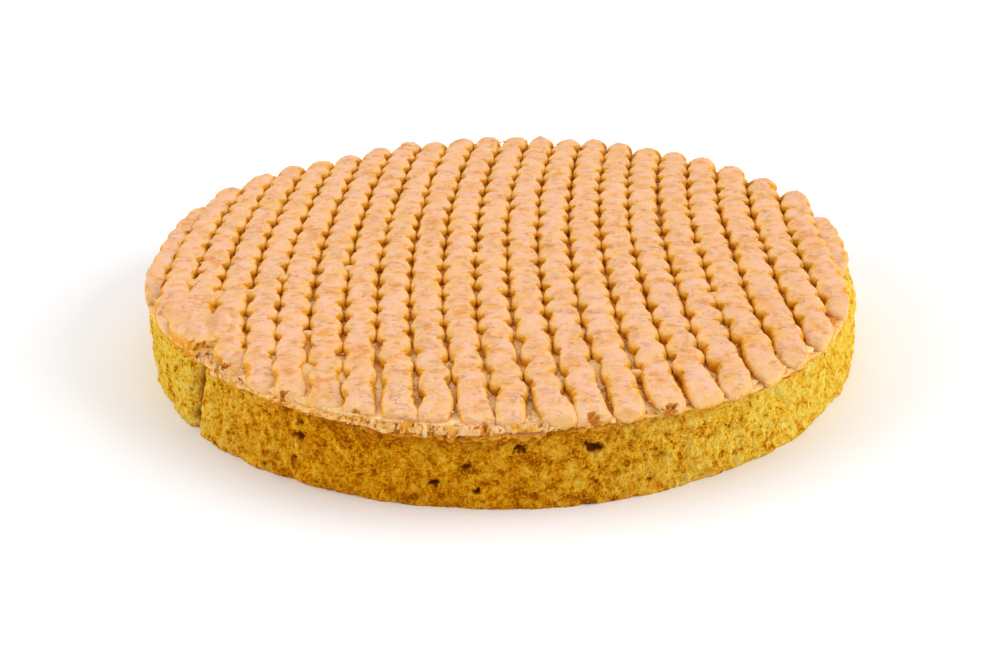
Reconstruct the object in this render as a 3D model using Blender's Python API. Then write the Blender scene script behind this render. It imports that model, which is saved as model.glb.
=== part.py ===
"""Round macaroon cake: a low sponge with one fused layer of piped macaroon ropes.

Metres, +Z up. The cake stands on z = 0 with its middle on the Z axis. The ropes run
from the back (+Y) to the front (-Y). Each one lies in folds that swing left and right.
"""

import math
import random

import bmesh
import bpy
from mathutils import Vector, noise

# Sponge
CAKE_RADIUS = 0.140
SPONGE_HEIGHT = 0.0301
SHOULDER = 0.0035  # how far the top edge of the side is rounded off
RIGHT_SHOULDER = 0.0045  # added to it at the right, where the topping stops short
RIGHT_ANGLE = math.radians(-12)
RIGHT_SPREAD = math.radians(28)
SIDE_SWELL = 0.0010  # slow bulges of the side
SIDE_LUMP = 0.0009  # lumps of crumb
SWELL_SIZE = 0.060
LUMP_SIZE = 0.009
FOOT_NICKS = 0.0022  # deepest of the nicks along the bottom edge
NICK_SIZE = 0.017
SIDE_COLUMNS = 104
SIDE_ROWS = 6
CREASE_ANGLE = math.radians(-144.4)  # the upright crease in the side, at its foot
CREASE_SLANT = math.radians(3.6)  # how much further round it lies at its top
CREASE_DEPTH = 0.0030
CREASE_WIDTH = 0.0035
# Pits in the crumb: direction seen from above in degrees, height, width
PITS = (
    (-120, 0.0190, 0.0050),
    (-100, 0.0092, 0.0055),
    (-95.5, 0.0156, 0.0055),
    (-94, 0.0066, 0.0045),
    (-88, 0.0228, 0.0055),
    (-78, 0.0212, 0.0070),
    (-68, 0.0148, 0.0050),
    (-55, 0.0104, 0.0060),
)

# Macaroon topping
LAYER_GAP = 0.0003  # between the sponge and the topping
SKIN_THICKNESS = 0.0012  # the flat macaroon that the ropes lie on
SKIN_MARGIN = 0.0010  # how far inside the ropes' tips the skin ends
SKIN_RAGGED = 0.0010
SKIN_COLUMNS = 104
TOPPING_RADIUS = 0.1402  # out to the ropes' tips
# Where the topping reaches further out or less far: direction and spread in degrees, distance
RIM_CHANGES = (
    (162, 16, 0.0014),
    (120, 9, -0.0035),
    (14, 20, -0.0020),
    (-13, 10, -0.0060),
    (-54, 19, 0.0036),
    (-144, 8, -0.0022),
)
SKIN_LEDGE = (-104, 15, 0.0028)  # the same for the skin alone
ROPE_COUNT = 23
ROPE_SPACING = 0.01237
SPACING_GROWTH = 0.000035  # the ropes lie closer at the left and wider at the right
ROPE_SHIFT = -0.00445  # where the middle rope crosses the X axis
ROPE_LEAN = 0.0135  # towards +X at the back
ROPE_BEND = 0.50  # the ropes bow towards -X: x grows by this times y squared
ROPE_FAN = 0.0092  # added to the bend for each rope towards the right
MIDDLE_SPREAD = 0.00009  # the ropes lie further apart near the middle, by this for each rope
SPREAD_AT = -0.015
SPREAD_LENGTH = 0.050
BACK_FLICK = 0.0018  # every rope starts with a flick to the right
FLICK_FAN = 0.0001  # taken from it for each rope towards the right
FLICK_LENGTH = 0.018
EDGE_PUSH_LEFT = 0.0026  # the outermost ropes are pushed in, and a share of it is passed on
EDGE_SHARE_LEFT = 0.3
EDGE_PUSH_RIGHT = 0.0055
EDGE_SHARE_RIGHT = 0.15
EDGE_SIZE = 0.82  # the outermost ropes are slimmer
# Rope 3 turns right before its front end, and its neighbours do so a little
TURN_ROPE = 3
TURN_REACH = 1.2
FRONT_TURN = 0.0040
TURN_FROM = -0.055
TURN_LENGTH = 0.040
ROPE_WANDER = 0.0008
WANDER_LENGTH = 0.040
ROPE_WIDTH = 0.0127  # across a fold
ROPE_HEIGHT = 0.0064  # of a fold, above the skin
ROPE_SUNK = 0.0006  # how deep the ropes reach into the skin
NECK = 0.86  # a rope between two folds, as a share of a fold
FOLD_LENGTH = 0.01275
FOLD_LENGTH_FRONT = 0.0158
STRETCH_FROM = -0.030  # the folds grow longer from here to the front
SWAY = 0.0008  # each fold swings to one side, and to the other one where it ends
SWAY_FRONT = 0.0011
END_SCATTER = 0.0012
END_LENGTH = 0.0016  # the rounded end of a rope
END_SIZE = 0.78  # where the rounding begins, as a share of a fold
TIP = 0.45
FRONT_SINK = 0.45  # how much lower a rope is at its front end
FRONT_SLOPE = 0.020  # length over which it sinks
RIM_SLACK = 0.0006  # how far the side of a rope may reach over the rim
RIM_SLACK_BACK = 0.0030  # added to it in the back half
RIM_SLACK_FROM = -0.010
RIM_SLACK_LENGTH = 0.040
# Ropes that start or end inside the rim: three run together at the front, and the last one
SHORT_ROPE_BACKS = {22: 0.032}
SHORT_ROPE_FRONTS = {0: -0.040, 1: -0.066, 2: -0.080, 22: -0.022}
# The flat patch that they run into
PATCH_ANGLE = math.radians(-152.5)
PATCH_FROM_MIDDLE = 0.1275
PATCH_SIZE = (0.0105, 0.0240, 0.0058)  # outwards, along the rim and up
PATCH_FLATNESS = 1.5
TOPPING_TRIANGLES = 11400
SEED = 32

# Finish
SPONGE_COLOUR = (0.60, 0.33, 0.045, 1.0)
MACAROON_COLOUR = (0.86, 0.53, 0.28, 1.0)


def clear_scene():
    for obj in list(bpy.data.objects):
        bpy.data.objects.remove(obj)


def new_collection(name):
    collection = bpy.data.collections.new(name)
    bpy.context.scene.collection.children.link(collection)
    return collection


def new_material(name, colour, roughness):
    material = bpy.data.materials.new(name)
    material.use_nodes = True
    shader = material.node_tree.nodes["Principled BSDF"]
    shader.inputs["Base Color"].default_value = colour
    shader.inputs["Roughness"].default_value = roughness
    shader.inputs["Metallic"].default_value = 0.0
    return material


def new_object(name, data, collection):
    obj = bpy.data.objects.new(name, data)
    collection.objects.link(obj)
    return obj


def mesh_object(name, shape, collection):
    """A new object that takes over the bmesh."""
    mesh = bpy.data.meshes.new(name)
    shape.to_mesh(mesh)
    shape.free()
    return new_object(name, mesh, collection)


def evaluated_mesh(obj):
    graph = bpy.context.evaluated_depsgraph_get()
    return bpy.data.meshes.new_from_object(obj.evaluated_get(graph))


def hide_guide(obj):
    obj.hide_render = True
    obj.display_type = "WIRE"


def hump(value, middle, spread):
    """1 at the middle of an angle range, falling smoothly to 0 on both sides."""
    off = math.remainder(value - middle, math.tau)
    return math.exp(-((off / spread) ** 2))


def ease(share):
    """0 to 1 with soft ends."""
    share = min(max(share, 0.0), 1.0)
    return share * share * (3 - 2 * share)


def grain(point, size, layer=0.0):
    """Smooth noise from about -1 to 1 whose lumps are the given size."""
    return noise.noise(Vector(point) / size + Vector((0, 0, layer)))


# Sponge


def shoulder_at(angle):
    return SHOULDER + RIGHT_SHOULDER * hump(angle, RIGHT_ANGLE, RIGHT_SPREAD)


def side_depth(angle, height):
    """How far the side stands in from the cake's radius."""
    point = (CAKE_RADIUS * math.cos(angle), CAKE_RADIUS * math.sin(angle), height)
    inward = SIDE_SWELL * (0.5 + 0.5 * grain(point, SWELL_SIZE))
    inward += SIDE_LUMP * (0.5 + grain(point, LUMP_SIZE, 5.0))
    crease_at = CREASE_ANGLE + CREASE_SLANT * height / SPONGE_HEIGHT
    off = math.remainder(angle - crease_at, math.tau) * CAKE_RADIUS
    inward += CREASE_DEPTH * math.exp(-((off / CREASE_WIDTH) ** 2))
    nick = max(0.0, grain(point, NICK_SIZE, 9.0))
    inward += FOOT_NICKS * nick * ease(1 - height / 0.006)
    return max(inward, 0.0)


def sponge_profile(angle):
    """Radius and height of each point up the side at one angle."""
    rounding = shoulder_at(angle)
    wall_top = SPONGE_HEIGHT - rounding
    points = [(0.0, wall_top * row / SIDE_ROWS) for row in range(SIDE_ROWS + 1)]
    for turn in (math.radians(40), math.radians(72)):
        points.append((rounding * (1 - math.cos(turn)), wall_top + rounding * math.sin(turn)))
    points.append((rounding * 1.6, SPONGE_HEIGHT))
    for inward, height in points:
        yield CAKE_RADIUS - inward - side_depth(angle, height), height


def build_sponge(parts, cutters):
    shape = bmesh.new()
    rings = []
    for column in range(SIDE_COLUMNS):
        angle = math.tau * column / SIDE_COLUMNS
        rings.append(
            [
                shape.verts.new((radius * math.cos(angle), radius * math.sin(angle), height))
                for radius, height in sponge_profile(angle)
            ]
        )
    for column, ring in enumerate(rings):
        following = rings[(column + 1) % SIDE_COLUMNS]
        for low in range(len(ring) - 1):
            shape.faces.new((ring[low], following[low], following[low + 1], ring[low + 1]))
    shape.faces.new([ring[0] for ring in reversed(rings)])
    shape.faces.new([ring[-1] for ring in rings])
    sponge = mesh_object("sponge", shape, parts)

    pits = bpy.data.collections.new("pits")
    cutters.children.link(pits)
    for degrees, height, width in PITS:
        angle = math.radians(degrees)
        pit = bmesh.new()
        bmesh.ops.create_icosphere(pit, subdivisions=1, radius=width / 2)
        cutter = mesh_object("pit", pit, pits)
        middle = CAKE_RADIUS - side_depth(angle, height) - width * 0.1
        cutter.location = (middle * math.cos(angle), middle * math.sin(angle), height)
        cutter.scale = (1.0, 1.0, 0.7)
        cutter.rotation_euler.z = angle
        hide_guide(cutter)
    cut = sponge.modifiers.new("pits", "BOOLEAN")
    cut.operation = "DIFFERENCE"
    cut.operand_type = "COLLECTION"
    cut.collection = pits
    sponge.data.shade_smooth()
    sponge.data.set_sharp_from_angle(angle=math.radians(50))
    return sponge


# Macaroon topping


def rim_radius(angle):
    """How far from the middle the topping reaches in a direction."""
    radius = TOPPING_RADIUS
    for degrees, spread, further in RIM_CHANGES:
        radius += further * hump(angle, math.radians(degrees), math.radians(spread))
    return radius


def skin_radius(angle):
    degrees, spread, further = SKIN_LEDGE
    radius = rim_radius(angle) - SKIN_MARGIN
    radius += further * hump(angle, math.radians(degrees), math.radians(spread))
    ragged = (radius * math.cos(angle), radius * math.sin(angle), 0)
    return radius + SKIN_RAGGED * grain(ragged, LUMP_SIZE, 3.0)


def from_middle_rope(rope):
    return rope - (ROPE_COUNT - 1) / 2


def edge_push(rope):
    """How far a rope is pushed in from its regular place. It fades from the outermost ropes."""
    if rope < ROPE_COUNT / 2:
        return EDGE_PUSH_LEFT * EDGE_SHARE_LEFT ** rope
    return -EDGE_PUSH_RIGHT * EDGE_SHARE_RIGHT ** (ROPE_COUNT - 1 - rope)


def rope_middle(rope, y):
    """Where a rope's middle line lies at y."""
    place = from_middle_rope(rope)
    x = ROPE_SHIFT + ROPE_SPACING * place + SPACING_GROWTH * place * place
    x += ROPE_LEAN * y + (ROPE_BEND + ROPE_FAN * place) * y * y
    x += MIDDLE_SPREAD * place * math.exp(-(((y - SPREAD_AT) / SPREAD_LENGTH) ** 2))
    x += edge_push(rope)
    turning = math.exp(-(((rope - TURN_ROPE) / TURN_REACH) ** 2))
    x += FRONT_TURN * turning * ease((TURN_FROM - y) / TURN_LENGTH)
    to_back = math.sqrt(max(TOPPING_RADIUS * TOPPING_RADIUS - x * x, 0.0)) - y
    x += (BACK_FLICK - FLICK_FAN * place) * math.exp(-max(to_back, 0.0) / FLICK_LENGTH)
    return x + ROPE_WANDER * grain((rope * 2.7, y, 0), WANDER_LENGTH, rope * 3.1)


def rope_size(rope):
    """How large a rope is, as a share of the middle one: the ropes fill the space they have."""
    place = from_middle_rope(rope)
    spacing = ROPE_SPACING + 2 * SPACING_GROWTH * place
    outermost = rope in (0, ROPE_COUNT - 1)
    return spacing / ROPE_SPACING * (EDGE_SIZE if outermost else 1.0)


def rope_end(rope, towards, further):
    """y where a rope meets the rim at the back (1) or the front (-1)."""
    y = 0.0
    for _ in range(8):
        x = rope_middle(rope, y)
        radius = rim_radius(math.atan2(y or towards * TOPPING_RADIUS / 4, x)) + further
        y = towards * math.sqrt(max(radius * radius - x * x, 0.0))
    return y


def stretch_at(y):
    """0 where the folds have their usual length, 1 at the front rim, where they are longest."""
    return ease((STRETCH_FROM - y) / (STRETCH_FROM + TOPPING_RADIUS))


def fold_lengths(back, front, dice):
    """Lengths of the folds that fill a rope, longer towards the front of the cake."""
    lengths = []
    y = back
    while y > front:
        length = FOLD_LENGTH + (FOLD_LENGTH_FRONT - FOLD_LENGTH) * stretch_at(y)
        lengths.append(length * dice.uniform(0.9, 1.1))
        y -= lengths[-1]
    fit = (back - front) / sum(lengths)
    return [length * fit for length in lengths]


def rope_points(rope, dice):
    """(x, y, size) down a rope's middle line: its tip, then the middle of a fold and its end by
    turns, and a tip."""
    back = rope_end(rope, 1, dice.uniform(-END_SCATTER, END_SCATTER))
    back = SHORT_ROPE_BACKS.get(rope, back)
    front = rope_end(rope, -1, dice.uniform(-END_SCATTER, END_SCATTER))
    front = SHORT_ROPE_FRONTS.get(rope, front)
    side = dice.choice((-1, 1))
    ends = [(back, TIP), (back - END_LENGTH, END_SIZE)]
    points = [(rope_middle(rope, y), y, size) for y, size in ends]
    y = back
    for length in fold_lengths(back, front, dice):
        sway = SWAY + (SWAY_FRONT - SWAY) * stretch_at(y)
        sway *= dice.uniform(0.5, 1.5) * side
        middle = y - length / 2
        y -= length
        points.append((rope_middle(rope, middle) + sway, middle, dice.uniform(0.96, 1.05)))
        points.append((rope_middle(rope, y) - sway, y, NECK * dice.uniform(0.95, 1.05)))
    ends = [(front + END_LENGTH, END_SIZE), (front, TIP)]
    points[-1:] = [(rope_middle(rope, y), y, size) for y, size in ends]
    share = rope_size(rope)
    return [(x, y, size * share) for x, y, size in points]


def settle_rope(shape, front, level):
    """Sinks a rope towards its front end, and presses its sides in to the rim."""
    for vert in shape.verts:
        sinking = 1 - ease((vert.co.y - front) / FRONT_SLOPE)
        if vert.co.z > level:
            vert.co.z = level + (vert.co.z - level) * (1 - FRONT_SINK * sinking)
        to_back = ease((vert.co.y - RIM_SLACK_FROM) / RIM_SLACK_LENGTH)
        slack = RIM_SLACK + RIM_SLACK_BACK * to_back
        limit = rim_radius(math.atan2(vert.co.y, vert.co.x)) + slack
        pressed = min(1.0, limit / math.hypot(vert.co.x, vert.co.y))
        vert.co.x *= pressed
        vert.co.y *= pressed


def rope_profile(guides):
    """The upright outline of a fold, drawn round the rope's middle line on the skin."""
    half = ROPE_WIDTH / 2
    outline = (
        (-half * 0.88, -ROPE_SUNK),
        (-half, ROPE_HEIGHT * 0.42),
        (-half * 0.60, ROPE_HEIGHT * 0.97),
        (half * 0.60, ROPE_HEIGHT * 0.97),
        (half, ROPE_HEIGHT * 0.42),
        (half * 0.88, -ROPE_SUNK),
    )
    curve = bpy.data.curves.new("rope profile", "CURVE")
    spline = curve.splines.new("POLY")
    spline.points.add(len(outline) - 1)
    for point, (across, up) in zip(spline.points, outline):
        point.co = (across, up, 0, 1)
    spline.use_cyclic_u = True
    profile = new_object("rope profile", curve, guides)
    hide_guide(profile)
    return profile


def build_rope(rope, dice, profile, collection, level):
    """One rope: a line with the fold outline swept along it, larger and smaller by turns."""
    curve = bpy.data.curves.new("rope", "CURVE")
    curve.dimensions = "3D"
    curve.twist_mode = "Z_UP"
    curve.bevel_mode = "OBJECT"
    curve.bevel_object = profile
    curve.use_fill_caps = True
    points = rope_points(rope, dice)
    spline = curve.splines.new("POLY")
    spline.points.add(len(points) - 1)
    for point, (x, y, size) in zip(spline.points, points):
        point.co = (x, y, level, 1)
        point.radius = size
    swept = new_object("swept rope", curve, collection)
    mesh = evaluated_mesh(swept)
    bpy.data.objects.remove(swept)
    shape = bmesh.new()
    shape.from_mesh(mesh)
    bmesh.ops.remove_doubles(shape, verts=shape.verts, dist=1e-5)
    bmesh.ops.recalc_face_normals(shape, faces=shape.faces)
    settle_rope(shape, points[-1][1], level)
    return mesh_object("rope", shape, collection)


def build_patch(collection, level):
    """The low uneven patch that the left ropes run into."""
    shape = bmesh.new()
    bmesh.ops.create_uvsphere(shape, u_segments=18, v_segments=8, radius=1.0)
    for vert in shape.verts:
        vert.co.x *= PATCH_SIZE[0]
        vert.co.y *= PATCH_SIZE[1]
        vert.co.z *= PATCH_SIZE[2] * PATCH_FLATNESS if vert.co.z > 0 else ROPE_SUNK
        vert.co.z = min(vert.co.z, PATCH_SIZE[2])
        vert.co.z *= 1 + 0.12 * grain(vert.co, 0.012, 8.0)
    patch = mesh_object("patch", shape, collection)
    patch.location = (
        PATCH_FROM_MIDDLE * math.cos(PATCH_ANGLE),
        PATCH_FROM_MIDDLE * math.sin(PATCH_ANGLE),
        level,
    )
    patch.rotation_euler.z = PATCH_ANGLE
    return patch


def fill_sealed_hollows(mesh):
    """Fills the pockets that the joined ropes close off: only the outermost skin of faces stays."""
    shape = bmesh.new()
    shape.from_mesh(mesh)
    left = set(shape.verts)
    shells = []
    while left:
        waiting = [left.pop()]
        shell = []
        while waiting:
            vert = waiting.pop()
            shell.append(vert)
            beside = {edge.other_vert(vert) for edge in vert.link_edges} & left
            left -= beside
            waiting.extend(beside)
        shells.append(shell)
    outer = max(shells, key=len)
    inner = [vert for shell in shells if shell is not outer for vert in shell]
    bmesh.ops.delete(shape, geom=inner, context="VERTS")
    shape.to_mesh(mesh)
    shape.free()


def thin_out(obj, triangles):
    """Merges the smallest faces until about this many triangles are left."""
    obj.data.calc_loop_triangles()
    fewer = obj.modifiers.new("fewer faces", "DECIMATE")
    fewer.ratio = min(1.0, triangles / len(obj.data.loop_triangles))
    mesh = evaluated_mesh(obj)
    obj.modifiers.clear()
    obj.data = mesh


def build_topping(parts, guides):
    under = SPONGE_HEIGHT + LAYER_GAP
    level = under + SKIN_THICKNESS
    shape = bmesh.new()
    rim = []
    for column in range(SKIN_COLUMNS):
        angle = math.tau * column / SKIN_COLUMNS
        radius = skin_radius(angle)
        rim.append(shape.verts.new((radius * math.cos(angle), radius * math.sin(angle), under)))
    face = shape.faces.new(rim)
    raised = bmesh.ops.extrude_face_region(shape, geom=[face])
    top = [part for part in raised["geom"] if isinstance(part, bmesh.types.BMVert)]
    bmesh.ops.translate(shape, vec=(0, 0, SKIN_THICKNESS), verts=top)
    bmesh.ops.recalc_face_normals(shape, faces=shape.faces)
    topping = mesh_object("macaroon_topping", shape, parts)

    ropes = bpy.data.collections.new("ropes")
    guides.children.link(ropes)
    profile = rope_profile(guides)
    dice = random.Random(SEED)
    for rope in range(ROPE_COUNT):
        build_rope(rope, dice, profile, ropes, level)
    build_patch(ropes, level)

    join = topping.modifiers.new("ropes", "BOOLEAN")
    join.operation = "UNION"
    join.operand_type = "COLLECTION"
    join.collection = ropes
    joined = evaluated_mesh(topping)
    topping.modifiers.clear()
    topping.data = joined
    fill_sealed_hollows(joined)
    thin_out(topping, TOPPING_TRIANGLES)
    for piece in list(ropes.objects):
        bpy.data.objects.remove(piece)
    bpy.data.collections.remove(ropes)
    bpy.data.objects.remove(profile)
    topping.data.shade_smooth()
    topping.data.set_sharp_from_angle(angle=math.radians(50))
    return topping


def main():
    clear_scene()
    parts = new_collection("macaroon cake")
    guides = new_collection("cutters and guides")
    sponge = build_sponge(parts, guides)
    sponge.data.materials.append(new_material("baked sponge", SPONGE_COLOUR, 0.85))
    topping = build_topping(parts, guides)
    topping.data.materials.clear()
    topping.data.materials.append(new_material("baked macaroon", MACAROON_COLOUR, 0.60))


main()
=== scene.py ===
"""Looks of a round macaroon cake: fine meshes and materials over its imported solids.

Metres, +Z up, in the frame of the solids. The piped ropes run from the back (+Y) to the
front (-Y). Run as a script, it builds every piece in order and then the studio.
"""

import math
import random

import bmesh
import bpy
import numpy as np
from mathutils import Matrix, Vector, noise


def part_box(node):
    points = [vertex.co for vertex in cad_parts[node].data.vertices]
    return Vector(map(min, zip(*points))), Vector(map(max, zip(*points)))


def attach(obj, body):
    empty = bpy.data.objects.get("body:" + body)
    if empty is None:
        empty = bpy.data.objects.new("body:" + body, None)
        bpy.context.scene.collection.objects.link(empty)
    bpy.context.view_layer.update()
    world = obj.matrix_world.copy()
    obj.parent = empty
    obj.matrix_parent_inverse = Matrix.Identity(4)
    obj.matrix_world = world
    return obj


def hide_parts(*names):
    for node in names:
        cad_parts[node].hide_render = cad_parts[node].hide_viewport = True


bl_info = {
    "name": "Macaroon Cake",
    "version": (1, 0, 0),
    "blender": (4, 5, 0),
    "location": "View3D > Sidebar > Macaroon Cake",
    "description": "Builds the sponge, the piped macaroon topping and the studio",
    "category": "Add Mesh",
}

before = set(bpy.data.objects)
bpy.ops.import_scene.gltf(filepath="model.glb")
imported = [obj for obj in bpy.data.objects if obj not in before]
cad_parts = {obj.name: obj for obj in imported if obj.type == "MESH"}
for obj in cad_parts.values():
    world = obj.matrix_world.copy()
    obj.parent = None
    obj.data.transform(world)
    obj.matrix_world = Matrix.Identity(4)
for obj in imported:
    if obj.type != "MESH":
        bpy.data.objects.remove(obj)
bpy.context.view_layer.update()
BODY = "root"

# Here a layer of noise is (depth, size of its lumps, number of the layer). A ramp is
# (start, length): it rises from 0 at its start to 1 at that length from it, and a negative
# length points the other way.

# Round sponge, the same as in its solid
SPONGE_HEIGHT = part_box("sponge")[1].z
CAKE_RADIUS = 0.140
SHOULDER = 0.0035
RIGHT_SHOULDER = 0.0045
RIGHT_ANGLE = math.radians(-12)
RIGHT_SPREAD = math.radians(28)
SIDE_SWELL = 0.0010
SIDE_LUMP = 0.0009
SWELL_SIZE = 0.060
LUMP_SIZE = 0.009
FOOT_NICKS = 0.0022
NICK_SIZE = 0.017
NICK_HEIGHT = 0.006
CREASE_ANGLE = math.radians(-144.4)
CREASE_SLANT = math.radians(3.6)
CREASE_DEPTH = 0.0030
CREASE_WIDTH = 0.0035
GASH_WIDTH = 0.0014  # the narrow dark bottom of the crease
GASH_DEPTH = 0.0022
GASH_SIDE = 0.0008
GASH_FOOT = 0.006  # it is weaker below this height
GASH_LEAST = 0.35
GASH_BENDS = ((0.0009, 0.0060, 91.0),)
GASH_SWELLS = ((0.6, 0.0040, 92.0),)
# The pits, like the holes and pores of the crumb, are painted dark: painted shade inside them
# Pits in the crumb: direction seen from above in degrees, height, width, how deep and dark
PITS = (
    (-120, 0.0190, 0.0050, 0.8),
    (-100, 0.0092, 0.0055, 1.0),
    (-95.5, 0.0156, 0.0055, 1.0),
    (-94, 0.0066, 0.0045, 1.0),
    (-88, 0.0228, 0.0055, 0.9),
    (-78, 0.0212, 0.0064, 1.0),
    (-68, 0.0148, 0.0050, 0.3),
    (-55, 0.0104, 0.0060, 0.3),
)

# Layout of the piped ropes, the same as in the solid topping. The ropes are numbered from the
# left, from 0
SKIN_THICKNESS = 0.0012
SKIN_MARGIN = 0.0010
SKIN_RAGGED = 0.0010
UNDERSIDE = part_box("macaroon_topping")[0].z
SKIN_TOP = UNDERSIDE + SKIN_THICKNESS
TOPPING_RADIUS = 0.1402
# Where the rim leaves the circle: direction in degrees, spread, how far outwards
RIM_CHANGES = (
    (162, 16, 0.0014),
    (120, 9, -0.0035),
    (14, 20, -0.0020),
    (-13, 10, -0.0060),
    (-54, 19, 0.0036),
    (-144, 8, -0.0022),
)
SKIN_LEDGE = (-104, 15, 0.0028)  # where the skin reaches beyond the ropes
ROPE_COUNT = 23
ROPE_SPACING = 0.01237
SPACING_GROWTH = 0.000035
ROPE_SHIFT = -0.00445
ROPE_LEAN = 0.0135
ROPE_BEND = 0.50
ROPE_FAN = 0.0092
MIDDLE_SPREAD = 0.00009  # the ropes lie further apart near the middle
SPREAD_AT = -0.015
SPREAD_LENGTH = 0.050
BACK_FLICK = 0.0018  # every rope starts with a flick to the right
FLICK_FAN = 0.0001
FLICK_LENGTH = 0.018
EDGE_PUSH_LEFT = 0.0026
EDGE_PUSH_RIGHT = 0.0055
EDGE_SHARE_LEFT = 0.3
EDGE_SHARE_RIGHT = 0.15
EDGE_SIZE = 0.82
TURN_ROPE = 3
TURN_REACH = 1.2
FRONT_TURN = 0.0040
TURN_FROM = -0.055
TURN_LENGTH = 0.040
ROPE_WANDER = 0.0008
WANDER_LENGTH = 0.040
WANDER_STEPS = (2.7, 3.1)  # how far apart two ropes lie in that noise
BEAD_LENGTH_FRONT = 0.0158
BEAD_SCATTER = (0.9, 1.1)
BEAD_DRAWS = 3  # random numbers that the solid topping takes for the form of each bead
STRETCH_FROM = -0.030
END_SCATTER = 0.0012
SHORT_ROPE_BACKS = {22: 0.032}
SHORT_ROPE_FRONTS = {0: -0.040, 1: -0.066, 2: -0.080, 22: -0.022}
PATCH_ANGLE = math.radians(-152.5)
PATCH_FROM_MIDDLE = 0.1275
PATCH_SIZE = (0.0112, 0.0250, 0.0058)
PATCH_FLATNESS = 1.5
PATCH_BEND = 2.0  # how far its dome bends over to a flat top
PATCH_FULLNESS = 0.75  # 1 is an ellipse, less is squarer
SEED = 32

# Fine form of the ropes
STATION_STEP = 0.0007
END_GAP = 0.02  # the first and the last row stop this far short of the ends, in steps
SECTION_POINTS = 26
SECTION_SQUARENESS = 3.1  # 2 is an ellipse
TIP_SQUARENESS = 2.0  # the same at the back end of a rope
SECTION_WIDEST = 0.36  # height over the skin where a rope is widest, as a share of its height
SECTION_LOWEST = math.radians(-40)
FOOT_TUCK = 0.08  # how much narrower the foot is
FOOT_SINK = 0.0007  # how far the foot reaches into the skin
FOLD_ROUNDNESS = 2.3
NOTCH_SHARPNESS = 0.85
FOLD_LEAN = -0.40  # the folds are widest in front of their middle
NOTCH_NECK = (0.52, 0.84)
NOTCH_BELLY = (0.96, 1.07)
END_NECK = 0.95
SIDE_BLEND = 2.5  # how sharply the two sides part at the middle of a rope
FRONT_BELLY = 0.87  # how much slimmer the folds are at the front rim
NOTCH_SAMPLES = 1200
FIRST_NOTCH = 0.006  # no notch is nearer to a rope's back end than this
NOTCH_WANDER = 0.30  # how unevenly the notches of a groove follow each other, in folds
NOTCH_WANDER_SIZE = 0.030
NOTCH_WANDER_STEP = 0.011  # how far apart two grooves lie in that noise
NOTCH_SCATTER = 0.0010  # the two sides of a groove are notched at almost the same place
FOLD_FALL = 0.070  # how far a fold sinks towards its front, as a share of its height
SEAM_DEPTH = 0.055  # depth of the seam between two folds, as a share of their height
SEAM_WIDTH = 0.0009
SEAM_ARC = 0.0034  # each fold's back edge arches over the fold behind it
SEAM_START = 0.009
SEAM_REACH = 0.60  # how strong a side's seams are at the middle of the rope
TIP_FULLNESS = 0.75
LOWEST_TIP = 0.35  # the ends of a rope are coloured as if they were at least this full
BACK_TIP = 0.0092
BACK_ROUNDING = 0.024  # length over which the section turns from round to square
BACK_END = 0.020
BACK_SLIMNESS = 0.10  # how much slimmer a rope is near its back end
BACK_RISE = (-0.10, 0.16)  # how much higher or lower it is there
FRONT_TIP = 0.0060
FRONT_END = 0.012
FRONT_SLOPE = 0.020  # length over which a rope sinks towards its front end
FRONT_SINK = (0.36, 0.62)
# Relief of a rope. The number of each layer is multiplied with that of the rope
ROPE_RELIEF = ((0.00034, 0.0052, 1.7), (0.00024, 0.0019, 0.9))
FOOT_RAGGED = (0.00060, 0.0013, 1.3)
FOOT_HEIGHT = 0.0030
NOTCH_RAGGED = (0.00150, 0.0016, 2.1)
END_RELIEF = ((0.0010, 0.0042, 83.0), (0.0006, 0.0018, 84.0))
SIDE_SWING = 0.30  # how far a rope swings away from its notches at the front
EYE_SIZE = (0.0026, 0.0014)  # half sizes of the ochre spot in the middle of a fold
EYE_SCALE = (0.6, 1.3)
EYE_BEHIND = (0.003, 0.008)  # how far behind a notch it lies
EYE_SCATTER = 0.0014
EYE_WOBBLE = ((0.5, 0.0016, 81.0),)
LAST_FOLD = (0.0075, 0.0130)  # no notch is nearer to a rope's front end than this, left and right
LAST_STRAIGHT = (0.0080, 0.0140)  # length of the plain front end, left and right
STRAIGHTNESS = 0.85
LAST_FLARE = (0.36, 0.10)  # how much wider the foot of the front end is, left and right
LEFT_ROPES = (7, 11)  # the ropes between which the left kind of front end turns into the right
SLANT_CUT = 0.55  # how far a rope stops short where the rim cuts it at a slant
SLANT_LIMIT = 2.0
FRONT_SHARE = (0.46, 0.92)  # width of a rope's front end, as a share of the rope's width
FRONT_HOOK = 0.0026  # how far a rope's front end may swing aside
HOOK_LENGTH = 0.016
FRONT_REACH = (0.0026, 0.0050)  # how far a rope's front end reaches beyond the solid one's
END_PALENESS = 0.35
FLARE_PALENESS = 1.2
TORN_PALENESS = 0.9
END_EVENNESS = 0.85  # how much less amber the front end is on its sides
END_CLEANNESS = 0.8  # how much weaker the notches are coloured there
CREST_SHARE = 0.98  # what lies higher than this share of a rope's height counts as its crest
LOWEST = 1.2
RIM_SOFTNESS = 0.0016
RIM_SLACK = 0.0006  # how far the macaroon may reach beyond the rim
BACK_SLACK = 0.0030  # and how much further at the back
BACK_SLACK_RAMP = (-0.010, 0.040)
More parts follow.
